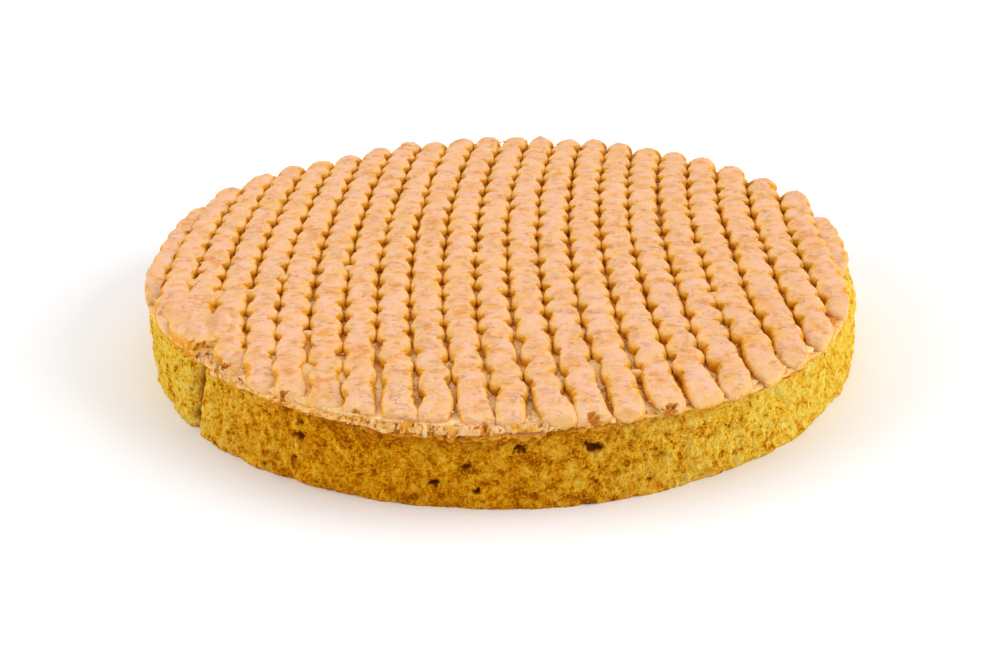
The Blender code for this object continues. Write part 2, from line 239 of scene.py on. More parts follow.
# Burst bubbles with browned middles: x, y, radius
BURSTS = (
    (-0.0353, -0.1388, 0.0021),
    (-0.0237, -0.1408, 0.0019),
    (0.0284, -0.1378, 0.0022),
    (0.0535, -0.1338, 0.0027),
    (-0.0492, -0.1322, 0.0016),
    (-0.0742, -0.1190, 0.0015),
    (-0.0965, -0.0985, 0.0022),
    (-0.1148, -0.0825, 0.0017),
    (-0.1079, -0.0860, 0.0013),
    (-0.1044, -0.0861, 0.0013),
    (-0.0070, -0.1420, 0.0017),
)
BURST_EDGE = 0.22  # width of its torn edge, in radii
BURST_HOLE_RAMP = (0.95, -0.45)
BURST_WOBBLE = ((0.55, 0.0021, 61.0), (0.60, 0.0009, 62.0))
# How a burst shapes a rope and the patch: rise of its edge, floor over the skin, how far its
# inside sinks to the floor
ROPE_BURST = (0.0006, 0.0008, 0.85)
PATCH_BURST = (0.0003, 0.0010, 0.80)
# Frothy crust at the rim: direction in degrees, spread, how far in from the edge, width
FROTH_SPOTS = (
    (-141, 7.5, 0.0030, 0.0060),
    (-138, 5.0, 0.0070, 0.0040),
    (-133.5, 4.0, 0.0012, 0.0034),
    (-106, 5.0, 0.0014, 0.0034),
    (-96, 6.5, 0.0004, 0.0030),
    (-87, 3.5, 0.0012, 0.0028),
    (-79.5, 2.4, 0.0010, 0.0034),
    (-68, 3.0, 0.0014, 0.0026),
    (-6, 4.5, 0.0030, 0.0046),
    (-163, 5.0, 0.0030, 0.0030),
)
FROTH_HEIGHT = 0.0019
FROTH_STEP = 0.00022
FROTH_POINTS = 26
FROTH_BED = 0.0002  # height of its foot over the underside of the skin
FROTH_SIZE_LAYER = ((0.5, 0.0045, 0.0),)
FROTH_WANDER = ((0.0010, 0.0060, 3.0),)
FROTH_SHAKE = 0.0009  # how far the bubbles are pulled out of shape
SHAKE_SIZE = 0.0013
FLAKE_SIZE = 0.0024
FLAKE_SHARPNESS = 2.2
BUBBLE_SIZE = 0.0019
SMALL_BUBBLE_SIZE = 0.0008
BUBBLE_RAMP = (0.38, -0.16)
BUBBLE_DEPTH = 0.0013
CLOSED_BUBBLES = 0.45  # share of the bubbles that didn't burst
FLAKE_RISE = 0.00105
SMALL_BUBBLE_RISE = 0.00040
FROTH_RELIEF = ((0.0006, 0.0030, 8.0),)
FROTH_BURST = (0.0006, 0.0012)  # rise of a burst's edge, depth of its inside
FROTH_PALENESS = 0.35
# How much browner the holes and dips of the froth are painted: painted shade in its hollows
HOLE_LOW = 0.9
DIP_LOW = (0.32, 0.0014, 0.5)  # at its mean height, rise over which it ends, and at most
FROTH_CLOUDS = ((1.0, 0.0026, 16.0),)
CLOUD_LOW = 0.55
PIECE_STEP = 0.05  # how far apart two like pieces lie in the noise
# Loose crumbs at the rim: direction in degrees, spread, how many, how far in, largest size,
# how far down the edge they cling
CRUMB_SPOTS = (
    (-140, 6.0, 420, 0.0052, 0.0007, 0.0002),
    (-98, 9.0, 260, 0.0016, 0.0011, 0.0006),
    (-80, 5.0, 110, 0.0014, 0.0011, 0.0006),
    (-7, 6.0, 160, 0.0030, 0.0009, 0.0006),
    (-120, 14.0, 140, 0.0014, 0.0008, 0.0006),
    (-60, 16.0, 140, 0.0012, 0.0008, 0.0006),
    (-100, 10.0, 230, 0.0016, 0.0017, 0.0006),
    (-77, 4.0, 50, 0.0010, 0.0020, 0.0004),
    (0, 9.0, 90, 0.0024, 0.0014, 0.0004),
)
SMALLEST_CRUMB = 0.00022
CRUMB_HEIGHTS = (0.0004, 0.0014)
CRUMB_SPREAD = 0.55  # of the spread above
CRUMB_MARGIN = 0.0003
CRUMB_LENGTHS = (0.8, 1.6)  # as a share of a crumb's width
CRUMB_FLATNESS = (0.5, 0.9)
# Low saddles that join two ropes: groove from the left, y, length along the groove
BRIDGES = (
    (10, -0.0066, 0.0044),
    (5, -0.0765, 0.0036),
    (6, -0.0178, 0.0050),
    (17, -0.0487, 0.0046),
    (17, -0.0008, 0.0060),
    (3, -0.0395, 0.0050),
    (4, -0.0256, 0.0040),
    (14, -0.1115, 0.0030),
    (1, -0.0300, 0.0060),
    (2, -0.0420, 0.0080),
    (21, -0.0060, 0.0080),
)
BRIDGE_HALF_WIDTH = 0.0052
BRIDGE_HEIGHT = 0.90  # as a share of the ropes' height
BRIDGE_POINTS = (40, 22)
BRIDGE_LOWEST = -25
BRIDGE_RELIEF = (0.0004, 0.0040, 3.0)  # the number of its layer is multiplied with the bridge's
# The lower side of a bridge is painted browner, partly as painted shade low between the ropes
BRIDGE_NOTCH = 0.4  # how browned its lower side is
# Stronger browned spots on the crests: x, y, radius
TOASTED_SPOTS = (
    (0.0840, -0.0880, 0.0075),
    (0.0630, -0.1010, 0.0060),
    (0.0690, -0.1050, 0.0055),
    (0.0950, -0.0560, 0.0050),
    (-0.0500, -0.0930, 0.0055),
    (0.1010, 0.0010, 0.0050),
    (0.0420, -0.0840, 0.0050),
    (0.1215, 0.0040, 0.0060),
    (0.1245, -0.0060, 0.0050),
    (0.1190, 0.0170, 0.0050),
    (0.1060, -0.0560, 0.0050),
    (0.0790, -0.0760, 0.0050),
    (0.0240, -0.1060, 0.0045),
)
TOAST_SHARPNESS = 1.4
TOAST_WOBBLE = ((0.5, 0.0035, 51.0),)

# Flat patch
PATCH_POINTS = (220, 60)
PATCH_LOWEST = -12
PATCH_LOW = 0.5
PATCH_NOTCH = 0.3
LOBE_ROPES = 5
LOBE_WIDTH = 0.0052
LOBE_LENGTH = 0.0128
LOBE_LAG = 0.37  # how far the folds of each rope lag behind those of the one before, in folds
LOBE_DIP = 0.25
LOBE_LEVEL = 0.6
LOBE_HEIGHT = 0.0028
PATCH_OUTLINE = ((0.12, 0.011, 4.0),)
PATCH_RAGGED = ((0.16, 0.0040, 14.0), (0.10, 0.0017, 15.0))  # of its outline at the front
PATCH_FRONT_RAMP = (-0.070, -0.012)
PATCH_RELIEF = ((0.0026, 0.0095, 2.0), (0.0006, 0.0035, 2.0))

# Thin skin under the ropes
SKIN_COLUMNS = 1500
SKIN_BAND = 0.0160  # width of the ring that is made of it
SKIN_BAND_STEPS = 26
SKIN_FRAY = 0.0006  # how much further it reaches than the solid one
SKIN_LONGEST = (-116, 26, 0.0016)  # direction, spread, how much further it reaches there
SKIN_OUTLINE = ((0.0007, 0.0060, 11.0), (0.0006, 0.0024, 12.0), (0.0003, 0.0010, 13.0))
EDGE_THICKNESS = 1.25  # thickness at its edge, as a share of the solid one's
EDGE_SWELLING = ((0.55, 0.0050, 21.0), (0.35, 0.0018, 22.0))
EDGE_RAMP = (0.006, -0.006)
# Rounded edge of the skin: how far in, and height as a share of the thickness
SKIN_EDGE = (
    (0.0012, 1.0),
    (0.0006, 0.92),
    (0.0002, 0.72),
    (0.0, 0.45),
    (0.0002, 0.2),
    (0.0008, 0.0),
    (0.004, 0.0),
)
SKIN_RELIEF = ((0.00035, 0.0034, 31.0), (0.00020, 0.0012, 32.0))
SKIN_BURST = 0.0007
SKIN_INSIDE = (0.003, 0.006)  # from how far in and over which length it is browned
SKIN_BROWNING = 0.4
SKIN_PALENESS = 0.8
# The top and the underside of the skin; the underside is painted browner, as painted shade under
# the overhang
TOP_LOW = 0.15
UNDER_LOW = 0.60

# Thin sheets at the front rim: from and to in degrees, reach from the middle, height, droop
SHEETS = (
    (-131, -101, 0.1425, 0.0008, 0.0010),
    (-112, -88, 0.1440, -0.0002, 0.0022),
    (-104, -84, 0.1432, -0.0014, 0.0020),
    (-60, -40, 0.1428, 0.0002, 0.0016),
    (-148, -128, 0.1385, 0.0004, 0.0012),
    (-84, -70, 0.1420, -0.0004, 0.0016),
)
SHEET_STEP = 0.0004
SHEET_POINTS = (14, 8)  # across its upper and its lower side
SHEET_WIDTH = 0.0075
SHEET_THICKNESS = 0.0005
SHEET_TAPER = (1.2, 0.7)  # thickness at its root and how much of it is gone at its edge
SHEET_PALENESS = 0.6
SHEET_LOW = 0.16
SHEET_EDGE_LOW = 0.36
# The undersides of the sheets are painted browner, as painted shade under them
SHEET_UNDER_LOW = 0.5
SHEET_OUTLINE = ((0.0014, 0.0065, 0.0), (0.0014, 0.0024, 2.0), (0.0008, 0.0010, 3.0))
SHEET_BITES = 0.0050  # how deep pieces are missing from the edges
BITE_SIZE = 0.0032
BITES_FROM = 0.15
SHEET_WAVES = ((0.0015, 0.0050, 4.0),)
SHEET_CURLS = ((0.0008, 0.0019, 5.0),)
SHEET_RELIEF = ((0.0003, 0.0016, 6.0),)

# Sugary film and grains in the grooves
FILM_COLUMNS = 560
FILM_RINGS = 72
FILM_START = 0.04  # the first ring, as a share of the last one
FILM_MARGIN = 0.0024  # how far inside the skin's edge the film ends
FILM_RISE = 0.0022
FILM_FRONT = 0.0004  # added to it towards the front
FILM_FRONT_RAMP = (-0.030, -0.060)
FILM_RIPPLES = ((0.0010, 0.0060, 41.0), (0.0004, 0.0019, 42.0))
FILM_OUTER_RAMP = (0.100, 0.036)
FILM_OUTER_FALL = 0.6  # how much thinner it gets there
CREAMY_OUTER_FALL = 0.7
SUGARY_BACK = -0.32  # how sugary it is at the back
SUGARY_GROWTH = 0.74  # and how much more it is at the front
SUGARY_CLOUDS = ((1.2, 0.010, 43.0),)
SUGARY_CREAM = 0.9
FILM_LEAST = 0.0002
FILM_BED = 0.0004  # how far its underside lies under the top of the skin
CREAMY_ANGLE = math.radians(-124)  # where the film is palest, between the front ends at the left
CREAMY_SPREAD = math.radians(16)
CREAMY_RISE = 0.0022
CREAMY_RAMP = (0.108, 0.016)
GRAIN_SCATTER = 0.0009
GRAIN_MARGIN = 0.003
GRAIN_SIZES = (0.00022, 0.00050)
GRAIN_RISE = 0.0012
GRAIN_WIDTHS = (0.7, 1.0)  # as a share of a grain's length
GRAIN_FLATNESS = (0.6, 1.0)

# Open crumb of the sponge
SIDE_COLUMNS = 1840
SIDE_ROWS = 52
SHOULDER_ROWS = 12
TOP_INSETS = (0.006, 0.030)  # rows on the top, inside the shoulder
SHOULDER_LIFT = 1.5  # how soon the relief of the shoulder turns upwards
TOP_RELIEF = 0.7  # relief of the top, as a share of that of the side
CURD_SIZE = 0.0030
CURD_RELIEF = (0.4, 1.2)  # of the flattest and the strongest curds
CRUMB_LAYERS = ((0.70, 0.0046, 18.4), (0.90, 0.0024, 9.6), (0.75, 0.0012, 4.8), (0.5, 0.0006, 2.4))
HOLE_SIZE = 0.0048
HOLE_WOBBLE = ((0.5, 0.0014, 8.0),)
HOLE_RAMP = (0.32, -0.22)
CLOSED_CELLS = 0.86  # share of the cells that have no hole
PIT_HEIGHT = 0.62  # as a share of its width
PIT_EDGE = 1.22
PIT_DEPTH = 2.3
PIT_WOBBLE = ((0.60, 0.0020, 6.0), (0.50, 0.0009, 7.0))
HOLLOW_DEPTH = 0.0010
# Painted shade: the crumb just under the overhanging edge of the topping is painted darker and
# browner
LIP_ANGLE = math.radians(-102)  # where the crumb is darker under the topping's edge
LIP_SPREAD = math.radians(16)
LIP_RAMP = (0.0215, 0.006)
LIP_PAINTED_SHADE = 0.9
# Zones of painted light, where the crumb is painted paler as if lit most: direction in degrees,
# spread, how pale
PAINTED_LIGHT_ZONES = (
    (-12, 58, 1.25),
    (-162, 34, 0.90),
)

# Camera and light
CAMERA_DISTANCE = 0.67248
CAMERA_ELEVATION = 0.4424
CAMERA_ROLL = -0.01519
CAMERA_TARGET = Vector((-0.00151, 0.0, -0.00111))
CAMERA_LENS = 59.23
SENSOR_WIDTH = 36.0
CLIP_START = 0.01
FLOOR_SIZE = 3.0
FLOOR_GREY = 0.93
SKY_STRENGTH = 0.30
# Soft lamps: name, direction towards it, how wide it is in degrees, strength
LAMPS = (
    ("lamp above", (0.0, 0.45, 1.0), 80, 1.36),
    ("lamp left", (-1.0, -0.15, 0.30), 60, 2.4),
    ("lamp right", (1.0, -0.15, 0.30), 60, 3.3),
)


def linear(red, green, blue):
    """A screen colour from 0 to 255 as the linear colour that shaders take."""
    channels = []
    for value in (red, green, blue):
        share = value / 255
        dark = share <= 0.04045
        channels.append(share / 12.92 if dark else ((share + 0.055) / 1.055) ** 2.4)
    return (*channels, 1.0)


# Colours of the finest marks. The others are settings
SMUDGE = linear(230, 168, 84)
FOLD_EYE = linear(226, 156, 70)
UPPER_FLANK = linear(237, 185, 108)
ASH = linear(150, 84, 14)
BARE_FILM = linear(202, 132, 50)
SUGAR_FLECK = linear(252, 226, 186)
SUGAR_CRYSTAL = linear(250, 228, 200)
# Lit copies of the crumb colours for the painted light of the sides; YELLOW_CRUMB among them is the
# crumb's own yellow
PAINTED_LIGHT_DARKEST = linear(222, 140, 16)
PAINTED_LIGHT_BAKED = linear(238, 164, 24)
PAINTED_LIGHT_GOLD = linear(255, 202, 54)
YELLOW_CRUMB = linear(255, 190, 36)
PAINTED_LIGHT_CLEAR = linear(255, 208, 66)
# Painted shade under the overhanging lip
LIP_SHADE_COLOUR = linear(178, 94, 26)
# Painted shade in the narrow bottom of the crease
GASH_SHADE = linear(150, 84, 6)


# Settings that a user would change


def colour_setting(name, description, red, green, blue):
    """A colour setting whose default is a screen colour."""
    return bpy.props.FloatVectorProperty(
        name=name, description=description,
        default=linear(red, green, blue), size=4, subtype="COLOR", min=0, max=1,
    )


class CakeSizes(bpy.types.PropertyGroup):
    """Sizes of the piped topping and of the crumb."""

    rope_width: bpy.props.FloatProperty(
        name="Rope width", description="Across a bead of the piped ropes",
        default=0.0127, min=0.010, max=0.016, unit="LENGTH",
    )
    rope_height: bpy.props.FloatProperty(
        name="Rope height", description="Height of a bead over the skin under it",
        default=0.0064, min=0.004, max=0.010, unit="LENGTH",
    )
    bead_length: bpy.props.FloatProperty(
        name="Fold length", description="Length of a fold at the back and the middle",
        default=0.01275, min=0.008, max=0.020, unit="LENGTH",
    )
    crumb_relief: bpy.props.FloatProperty(
        name="Crumb relief", description="How far the crumb of the side stands in and out",
        default=0.0007, min=0.0, max=0.003, unit="LENGTH",
    )
    sugar_grains: bpy.props.IntProperty(
        name="Sugar grains", description="Grains of sugar that lie in the grooves",
        default=2600, min=0, max=6000,
    )


class CakeColours(bpy.types.PropertyGroup):
    """Colours of the topping and the sponge."""

    crest: colour_setting("Crest", "Baked macaroon on top of the ropes", 228, 177, 136)
    crest_pink: colour_setting("Pinkish crest", "Macaroon that is paler and pinker", 232, 181, 152)
    crease: colour_setting("Crease", "Creases between two beads of a rope", 226, 161, 86)
    # Flank, amber and notch darken with depth: partly the browner baked sides, partly painted shade
    # and bounced light in the grooves
    flank: colour_setting("Flank", "Golden sides of the ropes", 228, 161, 56)
    amber: colour_setting("Amber", "Lower sides of the ropes", 218, 146, 6)
    notch: colour_setting("Notch", "Browned macaroon deep between the beads", 206, 119, 4)
    browned: colour_setting("Browned spots", "Crests that took more colour", 215, 136, 60)
    hollow: colour_setting("Broken ends", "Browned inside of burst rope ends", 206, 122, 22)
    cracks: colour_setting("Cracks", "Hairline cracks and specks on the crests", 206, 130, 66)
    cream: colour_setting("Cream edge", "Pale crisp skin at the rim", 243, 200, 132)
    sugar: colour_setting("Sugar", "Sugary film in the grooves", 252, 216, 150)
    gold: colour_setting("Golden crumb", "Most of the crumb of the side", 238, 152, 8)
    # pale is the crumb's yellow as painted where the painted light of the sides is strongest
    pale: colour_setting("Pale crumb", "Pale yellow clumps of the crumb", 255, 228, 108)
    baked: colour_setting("Baked crumb", "Wide darker zones of the crumb", 207, 122, 3)
    toasted: colour_setting("Toasted crumb", "Orange-brown stains of the crumb", 168, 88, 2)
    highlight: colour_setting("Bright grains", "Smallest and palest grains", 255, 220, 112)
    # Painted shade at the bottoms of the pores, holes and pits
    pore: colour_setting("Pores", "Dark bottoms of the pores", 104, 50, 4)


class CakeSettings(bpy.types.PropertyGroup):
    """All settings of the cake."""

    sizes: bpy.props.PointerProperty(type=CakeSizes)
    colours: bpy.props.PointerProperty(type=CakeColours)


# Shape helpers


def hump(value, middle, spread):
    """1 at the middle of an angle range, falling smoothly to 0 on both sides."""
    off = math.remainder(value - middle, math.tau)
    return math.exp(-((off / spread) ** 2))


def ease(share):
    """0 to 1 with soft ends."""
    share = min(max(share, 0.0), 1.0)
    return share * share * (3 - 2 * share)


def for_each(function, values):
    """A function of one number, taken at every number of an array."""
    results = [function(value) for value in values.ravel().tolist()]
    return np.array(results).reshape(values.shape)


def fade(distances, length):
    """1 at an end, falling smoothly to 0 at a length from it."""
    return for_each(lambda distance: 1 - ease(distance / length), distances)


def ramp(values, start, length):
    """0 before a start, rising evenly to 1 over a length. A negative one points the other way."""
    return np.clip((values - start) / length, 0, 1)


def polar(radius, angle, height):
    """The place at a distance from the middle in a direction, and at a height."""
    return (radius * math.cos(angle), radius * math.sin(angle), height)


def polar_points(radius, angle, height):
    """The same for arrays."""
    values = (radius * np.cos(angle), radius * np.sin(angle), height)
    return np.stack(np.broadcast_arrays(*values), axis=-1)


def grain(point, size, layer=0.0):
    """Smooth noise from about -1 to 1 whose lumps are the given size."""
    return noise.noise(Vector(point) / size + Vector((0, 0, layer)))


def grain_field(points, size, layer=0.0):
    """The same noise at many points at once."""
    shifted = points.reshape(-1, 3) / size + np.array((0, 0, layer))
    values = [noise.noise(point) for point in shifted.tolist()]
    return np.array(values).reshape(points.shape[:-1])


def unevenness(place, layers, sample=grain_field):
    """Layers of noise added up."""
    return sum(depth * sample(place, size, number) for depth, size, number in layers)


def cell_lot(seed):
    """A random number from 0 to 1 for a cell."""
    mixed = seed.x * 12.9898 + seed.y * 78.233 + seed.z * 37.719
    return math.sin(mixed) * 43758.5453 % 1


def cell_field(points, size, layer=0.0):
    """Distance to the nearest of scattered points, 0 on it and about 1 between them, and a
    random number for each cell."""
    shifted = points.reshape(-1, 3) / size + np.array((0, 0, layer))
    distances = []
    lots = []
    for point in shifted.tolist():
        near, seeds = noise.voronoi(point)
        distances.append(near[0])
        lots.append(cell_lot(seeds[0]))
    shape = points.shape[:-1]
    return np.array(distances).reshape(shape), np.array(lots).reshape(shape)


def dome(columns, rows, lowest, fullness=1.0):
    """A half ball of radius 1, row by row from a direction in degrees under its rim to its top.
    With a fullness under 1 it is squarer."""
    turns = np.linspace(0, math.tau, columns, endpoint=False)
    rises = np.linspace(math.radians(lowest), math.radians(89), rows)
    rise, turn = np.meshgrid(rises, turns, indexing="ij")
    x = np.sign(np.cos(turn)) * np.abs(np.cos(turn)) ** fullness
    y = np.sign(np.sin(turn)) * np.abs(np.sin(turn)) ** fullness
    return np.stack((np.cos(rise) * x, np.cos(rise) * y, np.sin(rise)), axis=-1)


def store(mesh, field, values):
    """Gives every point of a mesh a number for the materials."""
    stored = mesh.attributes.new(field, "FLOAT", "POINT")
    stored.data.foreach_set("value", np.ascontiguousarray(values, np.float32).ravel())


def grid_mesh(name, points, **fields):
    """A mesh over rows of points. The rows close on themselves, and the first and the last one
    are capped. Each field is stored as a value of every point."""
    rows, columns = points.shape[:2]
    index = np.arange(rows * columns).reshape(rows, columns)
    beside = np.roll(index, -1, axis=1)
    quads = np.stack((index[:-1], beside[:-1], beside[1:], index[1:]), axis=-1).reshape(-1, 4)
    caps = [index[0, ::-1].tolist(), index[-1].tolist()]
    mesh = bpy.data.meshes.new(name)
    mesh.from_pydata(points.reshape(-1, 3).tolist(), [], quads.tolist() + caps)
    for field, values in fields.items():
        store(mesh, field, np.broadcast_to(values, (rows, columns)))
    mesh.shade_smooth()
    return mesh


def joined_lumps(name, lumps, uneven, lump_noise):
    """One mesh of many small uneven lumps. Each lump is (place, half sizes, turn, tint)."""
    pattern = bmesh.new()
    bmesh.ops.create_icosphere(pattern, subdivisions=1, radius=1.0)
    ball = np.array([vert.co for vert in pattern.verts])
    ball_faces = np.array([[vert.index for vert in face.verts] for face in pattern.faces])
    pattern.free()
    points = []
    faces = []
    tints = []
    for number, (place, half, turn, tint) in enumerate(lumps):
        shift = Vector((number * 7.3, 0, 0))
        bumps = [noise.noise(Vector(corner) * lump_noise + shift) for corner in ball.tolist()]
        shaped = ball * (1 + uneven * np.array(bumps))[:, None] * np.array(half)
        points.append(shaped @ np.array(turn.to_matrix()).T + np.array(place))
        faces.append(ball_faces + len(ball) * number)
        tints.append(np.full(len(ball), tint))
    mesh = bpy.data.meshes.new(name)
    mesh.from_pydata(np.concatenate(points).tolist(), [], np.concatenate(faces).tolist())
    store(mesh, "tint", np.concatenate(tints))
    mesh.shade_smooth()
    return mesh


def random_turn(dice):
    axis = Vector((dice.gauss(0, 1), dice.gauss(0, 1), dice.gauss(0, 1))).normalized()
    return Matrix.Rotation(dice.uniform(0, math.tau), 3, axis).to_quaternion()


def show_piece(mesh, material, slot, *replaced):
    """Puts a mesh in the scene as a piece of the cake."""
    piece = bpy.data.objects.new(mesh.name, mesh)
    bpy.context.scene.collection.objects.link(piece)
    mesh.materials.append(material)
    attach(piece, BODY)
    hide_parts(*replaced)


# Layout of the ropes


def rim_radius(angle):
    """How far from the middle the topping reaches in a direction."""
    radius = TOPPING_RADIUS
    for degrees, spread, further in RIM_CHANGES:
        radius += further * hump(angle, math.radians(degrees), math.radians(spread))
    return radius


def skin_radius(angle):
    degrees, spread, further = SKIN_LEDGE
    radius = rim_radius(angle) - SKIN_MARGIN
    radius += further * hump(angle, math.radians(degrees), math.radians(spread))
    return radius + SKIN_RAGGED * grain(polar(radius, angle, 0), LUMP_SIZE, 3.0)


def from_middle_rope(rope):
    return rope - (ROPE_COUNT - 1) / 2


def edge_push(rope):
    """How far a rope is pushed in from its regular place. It fades from the outermost ropes."""
    if rope < ROPE_COUNT / 2:
        return EDGE_PUSH_LEFT * EDGE_SHARE_LEFT ** rope
    return -EDGE_PUSH_RIGHT * EDGE_SHARE_RIGHT ** (ROPE_COUNT - 1 - rope)


def rope_middle(rope, y):
    """Where a rope's middle line lies at y."""
    place = from_middle_rope(rope)
    x = ROPE_SHIFT + ROPE_SPACING * place + SPACING_GROWTH * place * place
    x += ROPE_LEAN * y + (ROPE_BEND + ROPE_FAN * place) * y * y
    x += MIDDLE_SPREAD * place * math.exp(-(((y - SPREAD_AT) / SPREAD_LENGTH) ** 2))
    x += edge_push(rope)
    turning = math.exp(-(((rope - TURN_ROPE) / TURN_REACH) ** 2))
    x += FRONT_TURN * turning * ease((TURN_FROM - y) / TURN_LENGTH)
    to_back = math.sqrt(max(TOPPING_RADIUS * TOPPING_RADIUS - x * x, 0.0)) - y
    x += (BACK_FLICK - FLICK_FAN * place) * math.exp(-max(to_back, 0.0) / FLICK_LENGTH)
    aside, layer = WANDER_STEPS
    return x + ROPE_WANDER * grain((rope * aside, y, 0), WANDER_LENGTH, rope * layer)


def rope_size(rope):
    """How large a rope is, as a share of the middle one."""
    place = from_middle_rope(rope)
    spacing = ROPE_SPACING + 2 * SPACING_GROWTH * place
    outermost = rope in (0, ROPE_COUNT - 1)
    return spacing / ROPE_SPACING * (EDGE_SIZE if outermost else 1.0)


def rope_end(rope, towards, further):
    """y where a rope meets the rim at the back (1) or the front (-1)."""
    y = 0.0
    for _ in range(8):
        x = rope_middle(rope, y)
        radius = rim_radius(math.atan2(y or towards * TOPPING_RADIUS / 4, x)) + further
        y = towards * math.sqrt(max(radius * radius - x * x, 0.0))
    return y


def stretch_at(y):
    """0 where the beads have their usual length, 1 at the front rim, where they are longest."""
    return ease((STRETCH_FROM - y) / (STRETCH_FROM + TOPPING_RADIUS))


def skip_bead_draws(back, front, usual, dice):
    """Takes the random numbers that give the beads of a rope their form in the solid topping,
    so that the next rope ends here where its solid does."""
    dice.choice((-1, 1))
    beads = 0
    y = back
    while y > front:
        length = usual + (BEAD_LENGTH_FRONT - usual) * stretch_at(y)
        y -= length * dice.uniform(*BEAD_SCATTER)
        beads += 1
    for _ in range(beads * BEAD_DRAWS):
        dice.random()


def rope_ends(rope, usual, dice):
    """y of the back end and of the front end of a rope."""
    back = rope_end(rope, 1, dice.uniform(-END_SCATTER, END_SCATTER))
    back = SHORT_ROPE_BACKS.get(rope, back)
    front = rope_end(rope, -1, dice.uniform(-END_SCATTER, END_SCATTER))
    front = SHORT_ROPE_FRONTS.get(rope, front)
    skip_bead_draws(back, front, usual, dice)
    return back, front


def front_kind(rope, kinds):
    """A measure of a rope's front end, between that of the left ropes and that of the right."""
    share = ease((rope - LEFT_ROPES[0]) / (LEFT_ROPES[1] - LEFT_ROPES[0]))
    return kinds[0] + (kinds[1] - kinds[0]) * share


def groove_notches(groove, usual):
    """Where the notches lie along a groove, from back to front: one for each fold. The grooves
    at the two sides of a rope are notched by turns."""
    def wander(y):
        place = (groove * NOTCH_WANDER_STEP, y, 0)
        return NOTCH_WANDER * grain(place, NOTCH_WANDER_SIZE, 77.0)

    y = np.linspace(TOPPING_RADIUS, -TOPPING_RADIUS, NOTCH_SAMPLES)
    lengths = usual + (BEAD_LENGTH_FRONT - usual) * for_each(stretch_at, y)
    phase = np.cumsum((y[0] - y[1]) / lengths) + 0.5 * groove + for_each(wander, y)
    turns = np.nonzero(np.diff(np.floor(phase)) > 0)[0]
    return y[turns].tolist()


def side_notches(layout, usual, dice):
    """Where the notches lie along the left and the right side of each rope."""
    sides = []
    for shift in (-1, 0):
        notches = []
        for rope, (back, front) in enumerate(layout):
            first = back - FIRST_NOTCH
            last = front + front_kind(rope, LAST_FOLD)
            places = groove_notches(rope + shift, usual)
            places = [y + NOTCH_SCATTER * dice.uniform(-1, 1) for y in places]
            notches.append([y for y in places if last < y < first])
        sides.append(notches)
    return sides


# Pieces


def fold_share(y, edges, lean=0.0):
    """For each y the number of its fold, how far along the fold it lies, from -1 to 1, and how
    much the fold swells there. The edges run from back to front."""
    phase = np.interp(-y, -edges, np.arange(len(edges)))
    number = np.clip(phase.astype(int), 0, len(edges) - 2)
    along = (phase - number) * 2 - 1
    warped = np.clip(along + lean * (1 - along * along), -1, 1)
    return number, along, (1 - np.abs(warped) ** FOLD_ROUNDNESS) ** NOTCH_SHARPNESS


def tip_round(distance, reach):
    """0 at the very end of a rope, rising like a dome to 1."""
    share = np.clip(distance / reach, 0, 1)
    return np.sqrt(1 - (1 - share) ** 2)


def press_to_rim(points, further):
    """Presses what lies beyond the rim back to it, softly."""
    radius = np.hypot(points[..., 0], points[..., 1])
    angles = np.arctan2(points[..., 1], points[..., 0])
    knee = for_each(rim_radius, angles) + further - RIM_SOFTNESS
    over = np.maximum(radius - knee, 0)
    pressed = knee + RIM_SOFTNESS * (1 - np.exp(-over / RIM_SOFTNESS))
    scale = np.where(over > 0, pressed / radius, 1)
    points[..., 0] *= scale
    points[..., 1] *= scale


def burst_at(points):
    """How near each point lies to the torn edge of a burst bubble, and how deep inside one."""
    torn = np.zeros(points.shape[:-1])
    inside = np.zeros(points.shape[:-1])
    wobble = 1 + unevenness(points, BURST_WOBBLE)
    for x, y, radius in BURSTS:
        away = np.hypot(points[..., 0] - x, points[..., 1] - y) / radius * wobble
        torn = np.maximum(torn, np.exp(-(((away - 1.0) / BURST_EDGE) ** 2)))
        inside = np.maximum(inside, ramp(away, *BURST_HOLE_RAMP))
    return torn, inside


def open_bursts(points, rise, floor, sinking):
    """Raises the torn edges of the burst bubbles and sinks their insides."""
    torn, broken = burst_at(points)
    over_floor = np.maximum(points[..., 2] - SKIN_TOP - floor, 0)
    points[..., 2] += rise * torn - sinking * broken * over_floor
    return torn, broken


def fold_eyes(points, middle, y, notches, dice):
    """How strongly each point lies in the ochre spot in the middle of a fold."""
    eyes = np.zeros(points.shape[:-1])
    wobble = 1 + unevenness(points, EYE_WOBBLE)
    for place in notches[0]:
        at = place + dice.uniform(*EYE_BEHIND)
        x = np.interp(-at, -y, middle) + dice.gauss(0, EYE_SCATTER)
        scale = dice.uniform(*EYE_SCALE)
        across = (points[..., 0] - x) / (EYE_SIZE[0] * scale)
        along = (points[..., 1] - at) / (EYE_SIZE[1] * scale)
        away = np.hypot(across, along) * wobble
        eyes = np.maximum(eyes, dice.random() * np.exp(-(away ** 2)))
    return eyes


